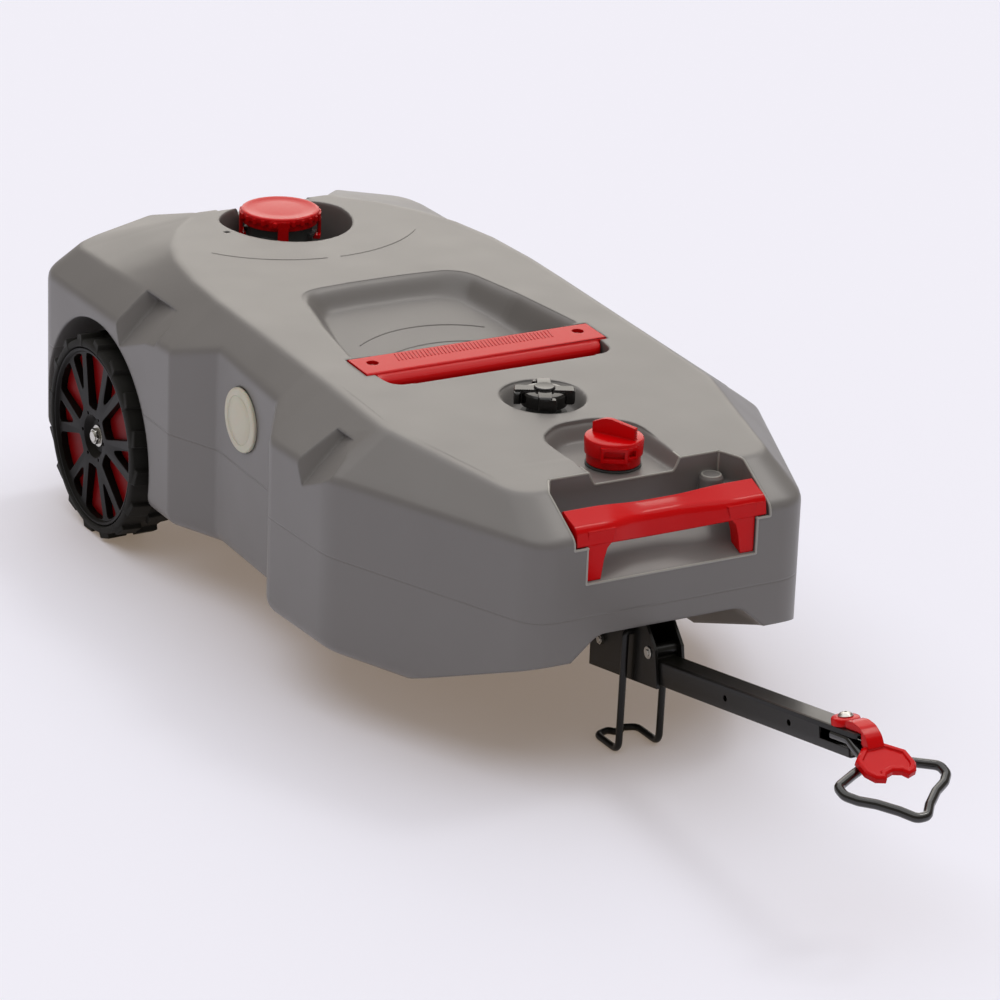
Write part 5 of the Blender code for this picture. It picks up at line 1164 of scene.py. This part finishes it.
BAR_FRAME = Matrix.Translation(HINGE) @ Matrix.Rotation(-BRACKET_PITCH, 4, "X")
BAR_AXIS_Z = -(0.0085 - GAP + 0.016)
BAR_TOP_Z = BAR_AXIS_Z + 0.016
BAR_AHEAD = 0.446
BEND_Y = 0.022 - BAR_AHEAD
LOOP_Z = BAR_AXIS_Z + 0.004
LOOP_DROOP = radians(17)
LOOP_TURN = Matrix.Rotation(BRACKET_PITCH + LOOP_DROOP, 4, "X")
LOOP_FRAME = BAR_FRAME @ Matrix.Translation((0, BEND_Y, LOOP_Z)) @ LOOP_TURN
LOOP_RADIUS = 0.00525
# The paint makes the rod this much thicker than its bare steel
LOOP_PAINT = 1.12
LATCH_BOLT_Y = 0.046 - BAR_AHEAD
LATCH_THICK = 0.009


def mirrored_line(line, radii):
    """A line of points and its corner radii, carried on by its mirror image in the middle plane."""
    return line + [Vector((-p.x, p.y, p.z)) for p in reversed(line)], radii + radii[::-1]


def make_loop():
    """The hand loop: half of it as (x, distance along the bar, corner radius)."""
    half = [
        (0.0115, 0, 0.012), (0.0125, 0.028, 0.03), (0.0185, 0.045, 0.012), (0.04, 0.054, 0.02),
        (0.069, 0.068, 0.014), (0.069, 0.083, 0.012), (0.058, 0.095, 0.02), (0.04, 0.106, 0.03),
        (0.02, 0.124, 0.03), (0.007, 0.14, 0.012),
    ]
    line = [BAR_FRAME @ Vector((0.0115, BEND_Y + 0.033, LOOP_Z))]
    line += [LOOP_FRAME @ Vector((x, -along, 0)) for x, along, _ in half]
    line, radii = mirrored_line(line, [0, *[radius for _, _, radius in half]])
    rod("hand_loop_rod", rounded(line, radii, 7), LOOP_RADIUS * LOOP_PAINT, "hand_loop", GLOSS_PAINT)


def make_latch():
    """The latch with its arm and its plate in the loop, then its foot on the bar and the foot's bolt."""
    axis = Vector((0, LATCH_BOLT_Y - 0.019, BAR_TOP_Z + GAP + LATCH_THICK / 2))
    knuckle = LATCH_THICK / 2
    clear = BAR_AHEAD + axis.y + 0.001
    crest = [(0.0, knuckle), (-0.01, knuckle + 0.0012), (-clear + 0.002, 0.002)]
    crest += [(-clear - 0.01, -0.008), (-clear - 0.014, -0.02)]
    arm = bent(crest, [0, 0.02, 0.02, 0.02, 0], 5)
    arm += [(-clear - 0.009, -0.023), (-clear, -0.017), (-clear, -knuckle), (0.0, -knuckle)]
    outline = [(axis.y + y, axis.z + z) for y, z in arm]
    shape = placed(extruded(outline, -0.011, 0.011, "X"), BAR_FRAME)
    shape = carved(shape, "UNION", placed(cylinder(knuckle, -0.011, 0.011, axis, "X", 40), BAR_FRAME))
    notch = [(0.015, 0.083), (0.0105, 0.076), (0.0, 0.0725)]
    half = [(0.0145, 0.027), (0.034, 0.045), (0.034, 0.067), (0.027, 0.079), *notch]
    plan = [(x, -along) for x, along in half] + [(-x, -along) for x, along in reversed(half[:-1])]
    under = LOOP_RADIUS + GAP
    plate = extruded(plan, under, under + 0.0085)
    top = max(plate.faces, key=lambda f: f.calc_center_median().z)
    bevel_edges(plate, list(top.edges), 0.0025, 1)
    top = max(plate.faces, key=lambda f: f.calc_center_median().z)
    bmesh.ops.inset_region(plate, faces=[top], thickness=0.0045, depth=0)
    bmesh.ops.inset_region(plate, faces=[top], thickness=0.0012, depth=-0.0022)
    shape = carved(shape, "UNION", placed(plate, LOOP_FRAME))
    piece("latch_moulding", shape, "latch", bevel=0.0007)
    centre = (0, LATCH_BOLT_Y, 0)
    low = BAR_TOP_Z + GAP
    high = low + LATCH_THICK
    profile = [(0.0033, low), (0.017, low), (0.017, high - 0.0025), (0.0162, high - 0.0008)]
    profile += [(0.0145, high), (0.0033, high)]
    foot = placed(turned(profile, centre), BAR_FRAME)
    room = placed(cylinder(knuckle + GAP, -0.05, 0.05, axis, "X", 40), BAR_FRAME)
    foot = carved(foot, "DIFFERENCE", room)
    piece("latch_foot_moulding", foot, "latch_foot", bevel=0.0005)
    head = high + GAP
    dome = [(0.0, head - 0.02), (0.003, head - 0.02), (0.003, head), (0.009, head), (0.009, head + 0.0012)]
    for step in range(1, 8):
        angle = radians(90 * step / 8)
        dome.append((0.0082 * cos(angle), head + 0.0012 + 0.004 * sin(angle)))
    dome.append((0, head + 0.0052))
    bolt = placed(turned(dome, centre, steps=48), BAR_FRAME)
    socket = placed(cylinder(0.0022, head + 0.003, head + 0.01, centre, "Z", 6), BAR_FRAME)
    bolt = carved(bolt, "DIFFERENCE", socket)
    piece("latch_bolt_domed", bolt, "latch_bolt")


def make_kickstand():
    """The bent wire stand: half of it as (x, y from its pivot, z, corner radius)."""
    wire = 0.009
    pivot_z = 0.165
    stand_y = from_front(0.0514)
    leg_x = 0.016 + 0.0006 + 0.004 + 0.003 + wire / 2 + 3 * GAP
    ground = wire / 2 + GAP
    half = [
        (0.017, 0, pivot_z, 0), (leg_x, 0, pivot_z, 0.008), (leg_x, 0.004, ground, 0.014),
        (leg_x, 0.056, ground, 0.014), (0.01, 0.062, ground, 0.012), (0.004, 0.054, ground, 0.01),
    ]
    line = [Vector((x, stand_y + y, z)) for x, y, z, _ in half]
    line, radii = mirrored_line(line, [corner[-1] for corner in half])
    rod("kickstand_rod", rounded(line, radii, 7), wire / 2, "kickstand")


# The rest


def make_rest():
    """Smoothed copies of the nodes that no other piece replaces, as their CAD shape is right."""
    bevels = {"tow_bar": 0.0012, "tow_bracket": 0.0006, "inlet_neck": 0.0006}
    for node in sorted(set(frame["nodes"]) - REPLACED):
        shape = bmesh.new()
        shape.from_mesh(frame["nodes"][node].data)
        bmesh.ops.remove_doubles(shape, verts=shape.verts, dist=1e-6)
        bmesh.ops.dissolve_limit(shape, angle_limit=radians(1), verts=shape.verts, edges=shape.edges)
        piece(f"{node}_smooth", shape, node, bevel=bevels.get(node, 0.0003))


# Studio

WORLD_SHARE = 0.28
WARM_WHITE = (1, 0.95, 0.88)
# Azimuth, elevation and spread in degrees, share of the floor's brightness, colour
LIGHTS = {
    "overhead_light": (20, 84, 88, 0.6, (0.985, 0.985, 1)),
    "rear_light": (28, 23, 44, 0.09, WARM_WHITE),
    "right_light": (80, 58, 12, 0.08, WARM_WHITE),
}
# The floor glows with a warm painted light of its own, which keeps the shadow under the tank light and
# warm
FLOOR_PAINTED_GLOW = 0.19
FLOOR_SIZE = 60
# The camera's axes, place and lens, which were fitted to the reference view
CAMERA_RIGHT = Vector((0.87088171, -0.49025362, 0.03487751))
CAMERA_UP = Vector((0.15130118, 0.33493284, 0.93001502))
CAMERA_BACK = Vector((-0.46762486, -0.80465606, 0.36586284))
CAMERA_PLACE = (-2.73266946, -4.59420232, 2.33856895)
CAMERA_LENS = 164.507


def soft_light(name, azimuth, elevation, spread, share, colour):
    """A broad even light; its share is the part of the floor's brightness that it gives."""
    high = radians(elevation)
    wide = radians(azimuth)
    data = bpy.data.lights.new(name, "SUN")
    data.angle = radians(spread)
    data.energy = share * pi / sin(high)
    data.color = colour
    made = linked(name, data)
    made.location = Vector((sin(wide) * cos(high), cos(wide) * cos(high), sin(high))) * 4
    made.rotation_euler = (-made.location).to_track_quat("-Z", "Y").to_matrix().to_euler()


def make_studio():
    scene = bpy.context.scene
    scene.view_settings.view_transform = "Standard"
    floor = bmesh.new()
    bmesh.ops.create_grid(floor, x_segments=1, y_segments=1, size=FLOOR_SIZE)
    ground = linked_mesh("studio_floor", floor)
    paper, shader = new_material("pale_backdrop_paper")
    set_inputs(shader, {"Base Color": linear("#D5DBEC"), "Roughness": 0.9, "Specular IOR Level": 0.0})
    # The floor's emission is painted light: a warm glow that lifts the shadow under the tank
    set_inputs(shader, {"Emission Color": linear("#FFE3C6"), "Emission Strength": FLOOR_PAINTED_GLOW})
    ground.data.materials.append(paper)
    world = bpy.data.worlds.new("studio_world")
    world.use_nodes = True
    set_inputs(world.node_tree.nodes["Background"], {"Color": linear("#FFF7EC"), "Strength": WORLD_SHARE})
    scene.world = world
    for name, numbers in LIGHTS.items():
        soft_light(name, *numbers)
    data = bpy.data.cameras.new("camera")
    data.sensor_width = 36
    data.lens = CAMERA_LENS
    data.clip_end = 200
    camera = linked("camera", data)
    turn = Matrix((CAMERA_RIGHT, CAMERA_UP, CAMERA_BACK)).transposed().to_4x4()
    camera.matrix_world = Matrix.Translation(CAMERA_PLACE) @ turn
    scene.camera = camera


def build():
    make_tank()
    make_beads()
    make_inlet_cap()
    make_hose_cap()
    make_vent_cap()
    make_gauge()
    make_deck_handle()
    make_front_handle()
    for side, word in SIDES:
        make_rim(side, word)
        make_tyre(side, word)
        make_disc(side, word)
        make_wheel_ends(side, word)
    make_loop()
    make_latch()
    make_kickstand()
    make_rest()
    make_studio()


build()
